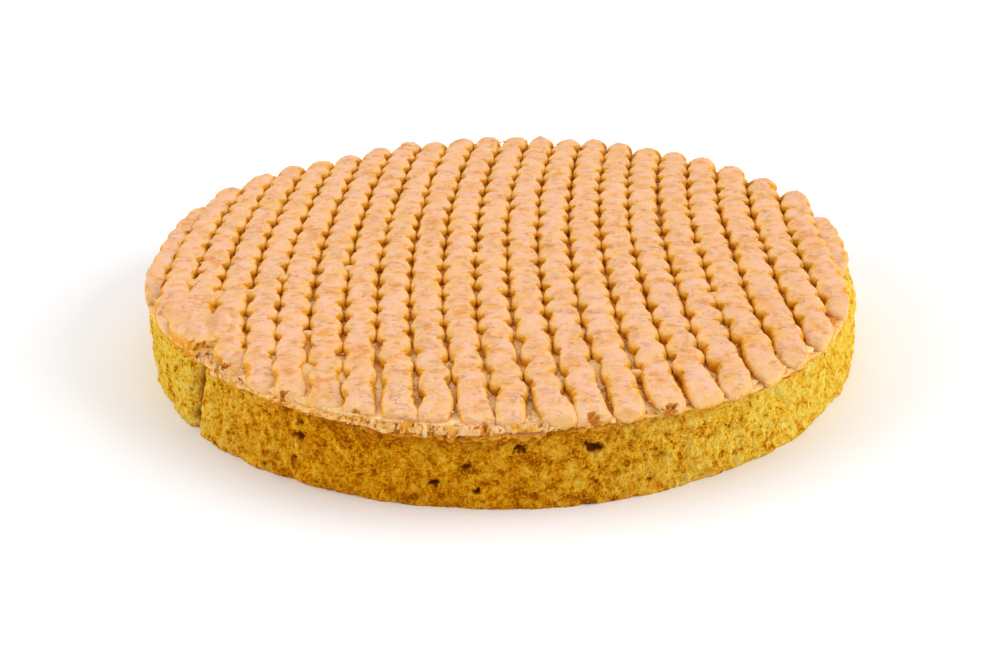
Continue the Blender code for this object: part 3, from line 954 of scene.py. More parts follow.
class RopeRows:
    """The rows of points of one rope, from its back end to its front end. The sections turn
    from an ellipse at the back end to nearly square ones."""

    def __init__(self, rope, ends, sizes, dice):
        self.rope = rope
        self.half_width = sizes.rope_width / 2 * rope_size(rope)
        self.height = sizes.rope_height * rope_size(rope)
        self.back, self.front = ends
        if rope not in SHORT_ROPE_FRONTS:
            self.front -= dice.uniform(*FRONT_REACH)
            slant = min(abs(rope_middle(rope, self.front) / self.front), SLANT_LIMIT)
            self.front += SLANT_CUT * slant * slant / SLANT_LIMIT * sizes.rope_width / 2
        count = int((self.back - self.front) / STATION_STEP)
        share = (np.arange(count) + END_GAP) / (count - 1 + 2 * END_GAP)
        self.y = self.back + (self.front - self.back) * share
        self.from_back = self.back - self.y
        self.from_front = self.y - self.front
        self.stretch = for_each(stretch_at, self.y)
        self.tips = tip_round(self.from_back, BACK_TIP) * tip_round(self.from_front, FRONT_TIP)
        self.near_back = fade(self.from_back, BACK_END)
        self.near_front = fade(self.from_front, FRONT_END)[:, None]
        turns = np.linspace(SECTION_LOWEST, math.pi - SECTION_LOWEST, SECTION_POINTS)
        sine = np.sin(turns)
        cosine = np.cos(turns)
        square = 1 - fade(self.from_back, BACK_ROUNDING)
        power = 2 / (TIP_SQUARENESS + (SECTION_SQUARENESS - TIP_SQUARENESS) * square)[:, None]
        self.across = np.sign(cosine) * np.abs(cosine) ** power
        self.upper = np.clip(sine, 0, 1) ** power
        self.lower = np.clip(-sine, 0, 1) / math.sin(-SECTION_LOWEST)


class RopeSides:
    """The notched sides of a rope: how wide it is at each point, how deep in a notch or in a
    seam the point lies, how far it sinks there, and how far each row swings aside."""

    def __init__(self, rows, notches, dice):
        plain = front_kind(rows.rope, LAST_STRAIGHT)
        straight = STRAIGHTNESS * fade(rows.from_front, plain)
        end_width = rows.half_width * dice.uniform(*FRONT_SHARE)
        slimmer = (1 - (1 - FRONT_BELLY) * rows.stretch) * (1 - BACK_SLIMNESS * rows.near_back)
        arch = SEAM_ARC * tip_round(rows.from_back, SEAM_START)[:, None]
        arched = rows.y[:, None] - arch * (1 - rows.across * rows.across)
        self.wide = np.zeros(rows.across.shape)
        self.notched = np.zeros(rows.across.shape)
        self.sunk = np.zeros(rows.across.shape)
        self.creased = np.zeros(rows.across.shape)
        self.swing = np.zeros(len(rows.y))
        for side, places in zip((-1, 1), notches):
            edges = np.array([rows.back, *places, rows.front])
            bellies = np.array([dice.uniform(*NOTCH_BELLY) for _ in edges])
            necks = np.array([dice.uniform(*NOTCH_NECK) for _ in edges])
            necks[0] = necks[-1] = END_NECK
            number, along, bulge = fold_share(rows.y, edges, FOLD_LEAN)
            neck = np.where(along < 0, necks[number], necks[number + 1])
            width = rows.half_width * (neck + (bellies[number] * slimmer - neck) * bulge)
            width = (width + (end_width - width) * straight) * rows.tips
            on_side = np.clip(0.5 + SIDE_BLEND * side * rows.across, 0, 1)
            self.wide += width[:, None] * on_side
            self.notched += (1 - bulge)[:, None] * on_side
            self.swing += side * width
            number, along, _ = fold_share(arched, edges)
            reach = np.clip(SEAM_REACH * (1 + side * rows.across), 0, 1)
            length = (edges[:-1] - edges[1:])[number]
            seam = np.exp(-((1 - np.abs(along)) * length / 2 / SEAM_WIDTH) ** 1.5)
            seam[arched > edges[1] + SEAM_WIDTH] = 0
            self.sunk += (FOLD_FALL * ((along + 1) / 2) ** 2 + SEAM_DEPTH * seam) * reach
            self.creased = np.maximum(self.creased, seam * reach)


def roughen_rope(points, rows, notched):
    """Moves the points of a rope in and out by its fine relief."""
    def layer(depth, size, step):
        return depth * grain_field(points, size, rows.rope * step)

    outward = points - points.mean(axis=1, keepdims=True)
    outward /= np.linalg.norm(outward, axis=-1, keepdims=True) + 1e-9
    foot = np.clip(1 - (points[..., 2] - SKIN_TOP) / FOOT_HEIGHT, 0, 1)
    relief = sum(layer(*numbers) for numbers in ROPE_RELIEF)
    relief += foot * layer(*FOOT_RAGGED) + notched * layer(*NOTCH_RAGGED)
    relief += rows.near_front * unevenness(points, END_RELIEF)
    points += outward * relief[..., None]


def rope_surface(rope, ends, notches, sizes, dice):
    """Points of one rope, row by row from back to front, and their fields: how low each one
    lies, how deep in a notch or a crease, and how pale the skin is there."""
    rows = RopeRows(rope, ends, sizes, dice)
    sides = RopeSides(rows, notches, dice)
    sinking = 1 - dice.uniform(*FRONT_SINK) * fade(rows.from_front, FRONT_SLOPE)
    risen = 1 + dice.uniform(*BACK_RISE) * rows.near_back
    tall = (sinking * risen * rows.tips ** TIP_FULLNESS)[:, None] * rows.height * (1 - sides.sunk)
    middle = for_each(lambda y: rope_middle(rope, y), rows.y)
    middle += dice.uniform(-FRONT_HOOK, FRONT_HOOK) * fade(rows.from_front, HOOK_LENGTH)
    middle += SIDE_SWING * rows.stretch * sides.swing

    flare = front_kind(rope, LAST_FLARE) * rows.near_front * (1 - rows.upper)
    spread = sides.wide * rows.across * (1 - FOOT_TUCK * rows.lower + flare)
    widest = SECTION_WIDEST * tall
    points = np.empty((*spread.shape, 3))
    points[..., 0] = middle[:, None] + spread
    points[..., 1] = rows.y[:, None] - np.gradient(middle, rows.y)[:, None] * spread
    points[..., 2] = SKIN_TOP - FOOT_SINK * rows.lower
    points[..., 2] += (widest + (tall - widest) * rows.upper) * (1 - rows.lower)
    roughen_rope(points, rows, sides.notched)
    press_to_rim(points, RIM_SLACK + BACK_SLACK * ramp(points[..., 1], *BACK_SLACK_RAMP))
    torn, broken = open_bursts(points, *ROPE_BURST)

    # low and notch drive the darker colour of the sides: partly their browner bake, partly painted
    # shade
    crest = (rows.height * sinking * np.maximum(rows.tips, LOWEST_TIP) ** TIP_FULLNESS)[:, None]
    low = np.clip(1 - (points[..., 2] - SKIN_TOP) / (crest * CREST_SHARE), 0, LOWEST)
    end_cream = (END_PALENESS + FLARE_PALENESS * flare) * rows.near_front
    fields = {
        "low": low * (1 - END_EVENNESS * rows.near_front) * (1 - broken),
        "notch": sides.notched * (1 - END_CLEANNESS * rows.near_front),
        "crease": sides.creased,
        "cream": np.maximum(end_cream, TORN_PALENESS * torn * (1 - broken)),
        "broken": broken,
        "eye": fold_eyes(points, middle, rows.y, notches, dice),
    }
    return points, fields


def toast_at(points):
    """How strongly each point lies in one of the browned spots."""
    toast = np.zeros(points.shape[:-1])
    wobble = 1 + unevenness(points, TOAST_WOBBLE)
    for x, y, radius in TOASTED_SPOTS:
        away = np.hypot(points[..., 0] - x, points[..., 1] - y) / radius * wobble
        toast = np.maximum(toast, np.exp(-(away ** 2) * TOAST_SHARPNESS))
    return toast


def build_ropes(sizes, material):
    dice = random.Random(SEED)
    layout = [rope_ends(rope, sizes.bead_length, dice) for rope in range(ROPE_COUNT)]
    fine_dice = random.Random(SEED + 5)
    left, right = side_notches(layout, sizes.bead_length, fine_dice)
    for rope, ends in enumerate(layout):
        points, fields = rope_surface(rope, ends, (left[rope], right[rope]), sizes, fine_dice)
        mesh = grid_mesh(f"macaroon_rope_{rope + 1:02d}", points, toast=toast_at(points), **fields)
        show_piece(mesh, material, "baked_macaroon", "macaroon_topping")


def build_bridges(sizes, material):
    """The low saddles that join neighbouring ropes."""
    for number, (groove, y, length) in enumerate(BRIDGES):
        x = (rope_middle(groove, y) + rope_middle(groove + 1, y)) / 2
        half = np.array((BRIDGE_HALF_WIDTH, length, sizes.rope_height * BRIDGE_HEIGHT))
        points = dome(*BRIDGE_POINTS, BRIDGE_LOWEST) * half + np.array((x, y, SKIN_TOP))
        depth, size, step = BRIDGE_RELIEF
        points[..., 2] += depth * grain_field(points, size, number * step)
        # Lower points are painted browner: partly their bake, partly painted shade
        low = np.clip(1 - (points[..., 2] - SKIN_TOP) / sizes.rope_height, 0, 1)
        mesh = grid_mesh(f"macaroon_bridge_{number + 1:02d}", points, low=low,
                         notch=low * BRIDGE_NOTCH)
        show_piece(mesh, material, "baked_macaroon", "macaroon_topping")


def patch_lobes(points):
    """How far the merged ropes still stand out of the patch: one lobe for each of their folds."""
    y = np.linspace(-TOPPING_RADIUS, TOPPING_RADIUS, 200)
    ridge = np.zeros(points.shape[:-1])
    for rope in range(LOBE_ROPES):
        middle = np.array([rope_middle(rope, value) for value in y.tolist()])
        across = (points[..., 0] - np.interp(points[..., 1], y, middle)) / LOBE_WIDTH
        turn = math.tau * (points[..., 1] / LOBE_LENGTH + LOBE_LAG * rope)
        fold = 1 - LOBE_DIP * (1 - np.cos(turn))
        ridge = np.maximum(ridge, np.exp(-(across ** 2)) * fold)
    return LOBE_HEIGHT * (ridge - LOBE_LEVEL)


def build_patch(material):
    """The low uneven patch that the left ropes run into."""
    half_width, half_length, height = PATCH_SIZE
    points = dome(*PATCH_POINTS, PATCH_LOWEST, PATCH_FULLNESS)
    points *= np.array((half_width, half_length, height * PATCH_FLATNESS))
    over = np.clip(points[..., 2] / height, -1, PATCH_FLATNESS)
    bent = np.tanh(over * PATCH_FLATNESS) / np.tanh(PATCH_BEND)
    points[..., 2] = height * np.where(over > 0, bent, over)
    middle = np.array(polar(PATCH_FROM_MIDDLE, PATCH_ANGLE, SKIN_TOP))
    points = points @ np.array(Matrix.Rotation(PATCH_ANGLE, 3, "Z")).T + middle
    frontal = ramp(points[..., 1], *PATCH_FRONT_RAMP)
    outline = 1 + unevenness(points, PATCH_OUTLINE) + frontal * unevenness(points, PATCH_RAGGED)
    points[..., :2] = middle[:2] + (points[..., :2] - middle[:2]) * outline[..., None]
    points[..., 2] += unevenness(points, PATCH_RELIEF)
    points[..., 2] += patch_lobes(points) * np.clip((points[..., 2] - SKIN_TOP) / height, 0, 1)
    _, broken = open_bursts(points, *PATCH_BURST)
    press_to_rim(points, RIM_SLACK)
    # Lower points are painted browner: partly their bake, partly painted shade
    low = np.clip(PATCH_LOW * (1 - (points[..., 2] - SKIN_TOP) / height), 0, 1) * (1 - broken)
    mesh = grid_mesh("macaroon_patch", points, low=low, notch=low * PATCH_NOTCH, broken=broken)
    show_piece(mesh, material, "baked_macaroon", "macaroon_topping")


def crust_reach(angle):
    """How far the ragged edge of the skin reaches in a direction."""
    degrees, spread, further = SKIN_LONGEST
    reach = skin_radius(angle) + SKIN_FRAY
    reach += further * hump(angle, math.radians(degrees), math.radians(spread))
    return reach + unevenness(polar(CAKE_RADIUS, angle, 0.0), SKIN_OUTLINE, grain)


def edge_thickness(angle):
    place = polar(CAKE_RADIUS, angle, 0.0)
    return SKIN_THICKNESS * (EDGE_THICKNESS + unevenness(place, EDGE_SWELLING, grain))


def build_crust(material):
    """The thin skin under the ropes, with its ragged edge."""
    angles = np.linspace(0, math.tau, SKIN_COLUMNS, endpoint=False)
    steps = range(1, SKIN_BAND_STEPS - 2)
    profile = [(SKIN_BAND, 0.9)]
    profile += [(SKIN_BAND * (1 - step / SKIN_BAND_STEPS), 1.0) for step in steps]
    profile += [*SKIN_EDGE, (SKIN_BAND, 0.0)]
    inward, share = np.array(profile).T[..., None]
    blend = ramp(inward, *EDGE_RAMP)
    thick = SKIN_THICKNESS * (1 - blend) + for_each(edge_thickness, angles) * blend
    points = polar_points(for_each(crust_reach, angles) - inward, angles, UNDERSIDE + share * thick)
    torn, broken = burst_at(points)
    bumps = unevenness(points, SKIN_RELIEF) + SKIN_BURST * (torn - broken)
    points[..., 2] += bumps * (share > 0.3)
    inside_from, inside_over = SKIN_INSIDE
    inside = for_each(lambda distance: ease((distance - inside_from) / inside_over), inward)
    # The underside of the skin is painted browner: painted shade under it
    low = np.where(share > 0.4, TOP_LOW, UNDER_LOW) + SKIN_BROWNING * inside
    mesh = grid_mesh("macaroon_skin", points, low=low, notch=inside,
                     cream=SKIN_PALENESS * (1 - inside), broken=broken)
    show_piece(mesh, material, "baked_macaroon", "macaroon_topping")


def build_sheets(material):
    """The crisp thin sheets of skin that stand out at the front, with wavy broken edges."""
    upper, lower = SHEET_POINTS
    across = np.concatenate((np.linspace(0, 1, upper), np.linspace(1, 0, lower)))
    top = np.concatenate((np.ones(upper), np.zeros(lower)))
    thick = SHEET_THICKNESS * (SHEET_TAPER[0] - SHEET_TAPER[1] * across ** 3)
    # The underside of a sheet is painted browner: painted shade under it
    low = SHEET_LOW + SHEET_EDGE_LOW * np.clip(across * 4 - 3, 0, 1) + SHEET_UNDER_LOW * (1 - top)
    for number, (first, last, reach, height, droop) in enumerate(SHEETS):
        columns = int(math.radians(last - first) * reach / SHEET_STEP)
        angles = np.radians(np.linspace(first, last, columns))
        inner = reach - SHEET_WIDTH
        rows = []
        for share, angle in zip(np.linspace(-1, 1, columns).tolist(), angles.tolist()):
            around = polar(reach, angle, number * PIECE_STEP)
            edge = reach + unevenness(around, SHEET_OUTLINE, grain)
            edge -= SHEET_WIDTH * (1 - math.sqrt(max(0.0, 1 - abs(share) ** 5)))
            edge -= SHEET_BITES * max(0.0, grain(around, BITE_SIZE, 7.0) - BITES_FROM)
            fall = unevenness(around, SHEET_WAVES, grain) * across
            fall += (unevenness(around, SHEET_CURLS, grain) - droop) * across ** 2
            z = SKIN_TOP + height + fall - thick * (1 - top)
            rows.append(polar_points(inner + (edge - inner) * across, angle, z))
        points = np.array(rows)
        points[..., 2] += unevenness(points, SHEET_RELIEF) * top
        mesh = grid_mesh(f"skin_sheet_{number + 1}", points, low=low, cream=SHEET_PALENESS)
        show_piece(mesh, material, "baked_macaroon", "macaroon_topping")


def build_sugar_film(material):
    """The sugary film at the bottom of the grooves."""
    turns = np.linspace(0, math.tau, FILM_COLUMNS, endpoint=False)
    reach = for_each(crust_reach, turns) - FILM_MARGIN
    rings = np.linspace(FILM_START, 1.0, FILM_RINGS)[:, None]
    points = polar_points(reach * rings, turns, SKIN_TOP)
    from_middle = np.hypot(points[..., 0], points[..., 1])
    outwards = ramp(from_middle, *FILM_OUTER_RAMP)
    angles = np.arctan2(points[..., 1], points[..., 0])
    creamy = np.exp(-(((angles - CREAMY_ANGLE) / CREAMY_SPREAD) ** 2))
    creamy *= ramp(from_middle, *CREAMY_RAMP)
    rise = FILM_RISE + unevenness(points, FILM_RIPPLES)
    rise += FILM_FRONT * ramp(points[..., 1], *FILM_FRONT_RAMP)
    rise *= 1 - FILM_OUTER_FALL * outwards ** 2
    rise += CREAMY_RISE * creamy * (1 - CREAMY_OUTER_FALL * outwards ** 3)
    points[..., 2] += np.maximum(rise, FILM_LEAST)
    bottom = points[-1:].copy()
    bottom[..., 2] = SKIN_TOP - FILM_BED
    points = np.concatenate((points, bottom))
    creamy = np.concatenate((creamy, creamy[-1:]))
    sugary = SUGARY_BACK + SUGARY_GROWTH * for_each(stretch_at, points[..., 1])
    sugary += unevenness(points, SUGARY_CLOUDS) + SUGARY_CREAM * creamy
    mesh = grid_mesh("sugar_film", points, sugary=sugary, creamy=creamy)
    show_piece(mesh, material, "baked_macaroon", "macaroon_topping")


def build_sugar_grains(count, material):
    """Grains of sugar in the grooves between the ropes."""
    dice = random.Random(SEED + 1)
    lumps = []
    while len(lumps) < count:
        rope = dice.randrange(ROPE_COUNT - 1)
        y = dice.uniform(-TOPPING_RADIUS, TOPPING_RADIUS)
        x = (rope_middle(rope, y) + rope_middle(rope + 1, y)) / 2 + dice.gauss(0, GRAIN_SCATTER)
        if math.hypot(x, y) > rim_radius(math.atan2(y, x)) - GRAIN_MARGIN:
            continue
        size = dice.uniform(*GRAIN_SIZES)
        place = (x, y, SKIN_TOP + FILM_RISE + dice.uniform(0, GRAIN_RISE))
        width = size * dice.uniform(*GRAIN_WIDTHS)
        half = (size, width, size * dice.uniform(*GRAIN_FLATNESS))
        lumps.append((place, half, random_turn(dice), dice.random()))
    mesh = joined_lumps("sugar_grains", lumps, uneven=0.6, lump_noise=0.8)
    show_piece(mesh, material, "baked_macaroon", "macaroon_topping")


def froth_bubbles(points, number):
    """How far flakes and bubbles stand out of a froth, and where burst ones are open."""
    shakes = [grain_field(points, SHAKE_SIZE, 70.0 + axis) for axis in range(3)]
    shaken = points + FROTH_SHAKE * np.stack(shakes, axis=-1)
    bubbles, lots = cell_field(shaken, BUBBLE_SIZE, 7.0 + number)
    small, _ = cell_field(shaken, SMALL_BUBBLE_SIZE, 9.0 + number)
    flakes = 1 - FLAKE_SHARPNESS * np.abs(grain_field(shaken, FLAKE_SIZE, 9.5))
    hole = ramp(bubbles, *BUBBLE_RAMP) * (lots > CLOSED_BUBBLES)
    rise = FLAKE_RISE * flakes - BUBBLE_DEPTH * hole + SMALL_BUBBLE_RISE * (0.5 - small)
    return rise + unevenness(points, FROTH_RELIEF), hole


def build_froth(material):
    """Frothy crust that broke out at the rim: low ridges of burst bubbles."""
    across = np.linspace(0, math.pi, FROTH_POINTS)
    for number, (degrees, spread, inside, width) in enumerate(FROTH_SPOTS):
        columns = int(math.radians(2 * spread) * TOPPING_RADIUS / FROTH_STEP)
        angles = np.radians(np.linspace(degrees - spread, degrees + spread, columns))
        rows = []
        for share, angle in zip(np.linspace(-1, 1, columns).tolist(), angles.tolist()):
            place = polar(CAKE_RADIUS, angle, number * PIECE_STEP)
            size = (1 - abs(share) ** 3) ** 0.5
            size *= 1 + unevenness(place, FROTH_SIZE_LAYER, grain)
            middle = crust_reach(angle) - inside + unevenness(place, FROTH_WANDER, grain)
            radius = middle - width / 2 * size * np.cos(across)
            height = FROTH_BED + FROTH_HEIGHT * size * np.sin(across) ** 0.7
            rows.append(polar_points(radius, angle, UNDERSIDE + height))
        points = np.array(rows)
        rise, hole = froth_bubbles(points, number)
        points[..., 2] += rise * np.sin(across) ** 0.5
        torn, broken = burst_at(points)
        points[..., 2] += FROTH_BURST[0] * torn - FROTH_BURST[1] * broken
        points[..., 2] = np.maximum(points[..., 2], UNDERSIDE)
        # Holes and dips are painted browner as painted shade; the clouds are the froth's own
        # browned tone
        low = HOLE_LOW * hole + np.clip(DIP_LOW[0] - rise / DIP_LOW[1], 0, DIP_LOW[2])
        low += CLOUD_LOW * np.clip(unevenness(points, FROTH_CLOUDS) + 0.1, 0, 1)
        mesh = grid_mesh(f"froth_{number + 1}", points, low=low * (1 - broken), notch=hole,
                         cream=FROTH_PALENESS * (1 - hole), broken=broken)
        show_piece(mesh, material, "baked_macaroon", "macaroon_topping")


def build_rim_crumbs(material):
    """Loose crumbs in the broken places of the rim."""
    dice = random.Random(SEED + 2)
    lowest, highest = CRUMB_HEIGHTS
    lumps = []
    for degrees, spread, count, inside, largest, drop in CRUMB_SPOTS:
        for _ in range(count):
            angle = math.radians(dice.gauss(degrees, spread * CRUMB_SPREAD))
            radius = crust_reach(angle) - abs(dice.gauss(0, inside)) - CRUMB_MARGIN
            size = SMALLEST_CRUMB + (largest - SMALLEST_CRUMB) * dice.random() ** 2
            height = UNDERSIDE + dice.uniform(lowest - drop, highest)
            length = size * dice.uniform(*CRUMB_LENGTHS)
            half = (length, size, size * dice.uniform(*CRUMB_FLATNESS))
            place = polar(radius, angle, height)
            lumps.append((place, half, random_turn(dice), dice.random()))
    mesh = joined_lumps("rim_crumbs", lumps, uneven=0.5, lump_noise=1.2)
    show_piece(mesh, material, "baked_macaroon", "macaroon_topping")


def shoulder_at(angle):
    return SHOULDER + RIGHT_SHOULDER * hump(angle, RIGHT_ANGLE, RIGHT_SPREAD)


def paleness_at(angle):
    """0 where the crumb has its own colour, 1 where it is painted palest as if lit most strongly.
    """
    return max(
        pale * hump(angle, math.radians(degrees), math.radians(spread))
        for degrees, spread, pale in PAINTED_LIGHT_ZONES
    )


def side_depth(angle, height):
    """How far the side stands in from the cake's radius."""
    point = polar(CAKE_RADIUS, angle, height)
    inward = SIDE_SWELL * (0.5 + 0.5 * grain(point, SWELL_SIZE))
    inward += SIDE_LUMP * (0.5 + grain(point, LUMP_SIZE, 5.0))
    crease_at = CREASE_ANGLE + CREASE_SLANT * height / SPONGE_HEIGHT
    off = math.remainder(angle - crease_at, math.tau) * CAKE_RADIUS
    inward += CREASE_DEPTH * math.exp(-((off / CREASE_WIDTH) ** 2))
    nick = max(0.0, grain(point, NICK_SIZE, 9.0))
    inward += FOOT_NICKS * nick * ease(1 - height / NICK_HEIGHT)
    return max(inward, 0.0)


def side_profile(rounding):
    """How far in and how high each row of the side lies, up the wall and over the shoulder."""
    wall_top = SPONGE_HEIGHT - rounding
    wall_rows = SIDE_ROWS - SHOULDER_ROWS
    for row in range(wall_rows):
        yield 0.0, wall_top * row / wall_rows
    for row in range(SHOULDER_ROWS):
        turn = math.radians(90) * row / (SHOULDER_ROWS - 1)
        yield rounding * (1 - math.cos(turn)), wall_top + rounding * math.sin(turn)


def sponge_rows(angles):
    """Rows of points up the side of the sponge and onto its top, and for each point how far
    its relief points outwards and upwards."""
    shape = (SIDE_ROWS + len(TOP_INSETS), len(angles))
    points = np.empty((*shape, 3))
    facing = np.empty((*shape, 2))
    for column, angle in enumerate(angles.tolist()):
        rounding = shoulder_at(angle)
        for row, (inward, height) in enumerate(side_profile(rounding)):
            radius = CAKE_RADIUS - inward - side_depth(angle, height)
            points[row, column] = polar(radius, angle, height)
            lean = inward / rounding
            facing[row, column] = (1 - lean, min(1.0, lean * SHOULDER_LIFT))
        for row, inset in enumerate(TOP_INSETS, SIDE_ROWS):
            points[row, column] = polar(CAKE_RADIUS - rounding - inset, angle, SPONGE_HEIGHT)
            facing[row, column] = (0, 1)
    return points, facing


def crumb_hollows(points):
    """How deep each point lies in a hole of the crumb or in one of the larger pits."""
    holes, lots = cell_field(points, HOLE_SIZE, 3.0)
    holes *= 1 + unevenness(points, HOLE_WOBBLE)
    hollow = ramp(holes, *HOLE_RAMP) * (lots > CLOSED_CELLS)
    wobble = 1.1 + unevenness(points, PIT_WOBBLE)
    for degrees, height, width, dark in PITS:
        middle = np.array(polar(CAKE_RADIUS, math.radians(degrees), height))
        away = np.linalg.norm((points - middle) / np.array((1, 1, PIT_HEIGHT)), axis=-1) * wobble
        hollow = np.maximum(hollow, PIT_DEPTH * dark * np.clip(PIT_EDGE - away / (width / 2), 0, 1))
    return hollow


def crease_gash(points, angles):
    """How deep each point lies in the narrow bottom of the crease."""
    around = np.remainder(angles - CREASE_ANGLE + math.pi, math.tau) - math.pi
    off = (around - CREASE_SLANT * points[..., 2] / SPONGE_HEIGHT) * CAKE_RADIUS
    off += GASH_SIDE + unevenness(points, GASH_BENDS)
    width = GASH_WIDTH * (1 + unevenness(points, GASH_SWELLS))
    return np.exp(-((off / width) ** 2)) * np.clip(points[..., 2] / GASH_FOOT, GASH_LEAST, 1)


def build_sponge(sizes, material):
    angles = np.linspace(0, math.tau, SIDE_COLUMNS, endpoint=False)
    points, facing = sponge_rows(angles)
    curds, lots = cell_field(points, CURD_SIZE, 1.0)
    flattest, strongest = CURD_RELIEF
    relief = (0.5 - curds) * (flattest + (strongest - flattest) * lots)
    relief = sizes.crumb_relief * (relief + unevenness(points, CRUMB_LAYERS))
    hollow = crumb_hollows(points)
    gash = crease_gash(points, angles)
    relief -= GASH_DEPTH * gash + HOLLOW_DEPTH * hollow
    relief[points[..., 2] > SPONGE_HEIGHT - 1e-5] = 0
    relief[0] = np.minimum(relief[0], 0)
    outward = points[..., :2] / np.linalg.norm(points[..., :2], axis=-1, keepdims=True)
    points[..., :2] += outward * (relief * facing[..., 0])[..., None]
    points[..., 2] += relief * facing[..., 1] * TOP_RELIEF
    points[0, :, 2] = 0.0
    points[..., 2] = np.clip(points[..., 2], 0.0, SPONGE_HEIGHT)
    # Painted shade under the overhanging lip, strongest near the top of the side
    under_lip = for_each(lambda angle: hump(angle, LIP_ANGLE, LIP_SPREAD), angles)
    browning = LIP_PAINTED_SHADE * under_lip * ramp(points[..., 2], *LIP_RAMP)
    mesh = grid_mesh("sponge_crumb", points, hollow=np.clip(hollow, 0, 2), gash=gash,
                     lump=relief / sizes.crumb_relief, paleness=for_each(paleness_at, angles),
                     browning=browning)
    show_piece(mesh, material, "baked_sponge", "sponge")


# Materials


class Recipe:
    """One node material, built step by step. Its values are sockets of nodes or numbers."""

    def __init__(self, name, roughness, shine=0.5):
        self.material = bpy.data.materials.new(name)
        self.material.use_nodes = True
        self.tree = self.material.node_tree
        self.shader = self.tree.nodes["Principled BSDF"]
        self.shader.inputs["Roughness"].default_value = roughness
        self.shader.inputs["Specular IOR Level"].default_value = shine
        self.places = self.tree.nodes.new("ShaderNodeTexCoord").outputs["Object"]

    def put(self, socket, value):
        """Sets a socket to a constant, or links it to another one."""
        if isinstance(value, bpy.types.NodeSocket):
            self.tree.links.new(value, socket)
        else:
            socket.default_value = value

    def attribute(self, name):
        node = self.tree.nodes.new("ShaderNodeAttribute")
        node.attribute_name = name
        return node.outputs["Fac"]

    def math(self, operation, first, second=0.0):
        node = self.tree.nodes.new("ShaderNodeMath")
        node.operation = operation
        self.put(node.inputs[0], first)
        self.put(node.inputs[1], second)
        return node.outputs[0]

    def plus(self, first, second):
        return self.math("ADD", first, second)

    def less(self, first, second):
        return self.math("SUBTRACT", first, second)

    def times(self, first, second):
        return self.math("MULTIPLY", first, second)

    def larger(self, first, second):
        return self.math("MAXIMUM", first, second)

    def place(self, stretch, shift):
        node = self.tree.nodes.new("ShaderNodeMapping")
        node.inputs["Scale"].default_value = stretch
        node.inputs["Location"].default_value = (shift, shift * 0.7, shift * 1.3)
        self.put(node.inputs["Vector"], self.places)
        return node.outputs[0]

    def spots(self, size, detail=3.0, stretch=(1, 1, 1), shift=0.0, rough=0.5):
        """Noise from 0 to 1 whose lumps are the given size."""
        node = self.tree.nodes.new("ShaderNodeTexNoise")
        node.inputs["Scale"].default_value = 1 / size
        node.inputs["Detail"].default_value = detail
        node.inputs["Roughness"].default_value = rough
        self.put(node.inputs["Vector"], self.place(stretch, shift))
        return node.outputs["Fac"]

    def swing(self, size, **look):
        """The same noise from about -0.5 to 0.5."""
        return self.less(self.spots(size, **look), 0.5)

    def cells(self, size):
        """Distance to the nearest of points that lie about the given size apart."""
        node = self.tree.nodes.new("ShaderNodeTexVoronoi")
        node.inputs["Scale"].default_value = 1 / size
        self.put(node.inputs["Vector"], self.place((1, 1, 1), 0.0))
        return node.outputs["Distance"]

    def limits(self, value, low, high, start=0.0, end=1.0):
        """Maps a range to another one, with soft ends."""
        node = self.tree.nodes.new("ShaderNodeMapRange")
        node.interpolation_type = "SMOOTHSTEP"
        for socket, number in zip(node.inputs[1:5], (low, high, start, end)):
            socket.default_value = number
        self.put(node.inputs["Value"], value)
        return node.outputs[0]

    def mix(self, share, first, second):
        node = self.tree.nodes.new("ShaderNodeMix")
        node.data_type = "RGBA"
        self.put(node.inputs["Factor"], share)
        self.put(node.inputs[6], first)
        self.put(node.inputs[7], second)
        return node.outputs[2]

    def finish(self, colour, height=None, depth=0.0, strength=1.0):
        """Gives the material its colour and a fine relief, and returns it."""
        self.put(self.shader.inputs["Base Color"], colour)
        if height is not None:
            node = self.tree.nodes.new("ShaderNodeBump")
            node.inputs["Distance"].default_value = depth
            node.inputs["Strength"].default_value = strength
            self.put(node.inputs["Height"], height)
            self.put(self.shader.inputs["Normal"], node.outputs[0])
        return self.material


def fine_cracks(recipe):
    """Where the crests have hairline cracks and dark specks."""
    lines = recipe.swing(0.0030, detail=5.0, stretch=(0.45, 1.5, 1.0), shift=5.0, rough=0.62)
    line = recipe.limits(recipe.math("ABSOLUTE", lines), 0.003, 0.018, 0.85, 0.0)
    where = recipe.limits(recipe.spots(0.0065, detail=2.0, shift=15.0), 0.46, 0.58)
    speck = recipe.limits(recipe.spots(0.00075, detail=2.0, shift=8.0), 0.63, 0.73, 0.0, 0.75)
    return recipe.larger(recipe.times(line, where), speck)


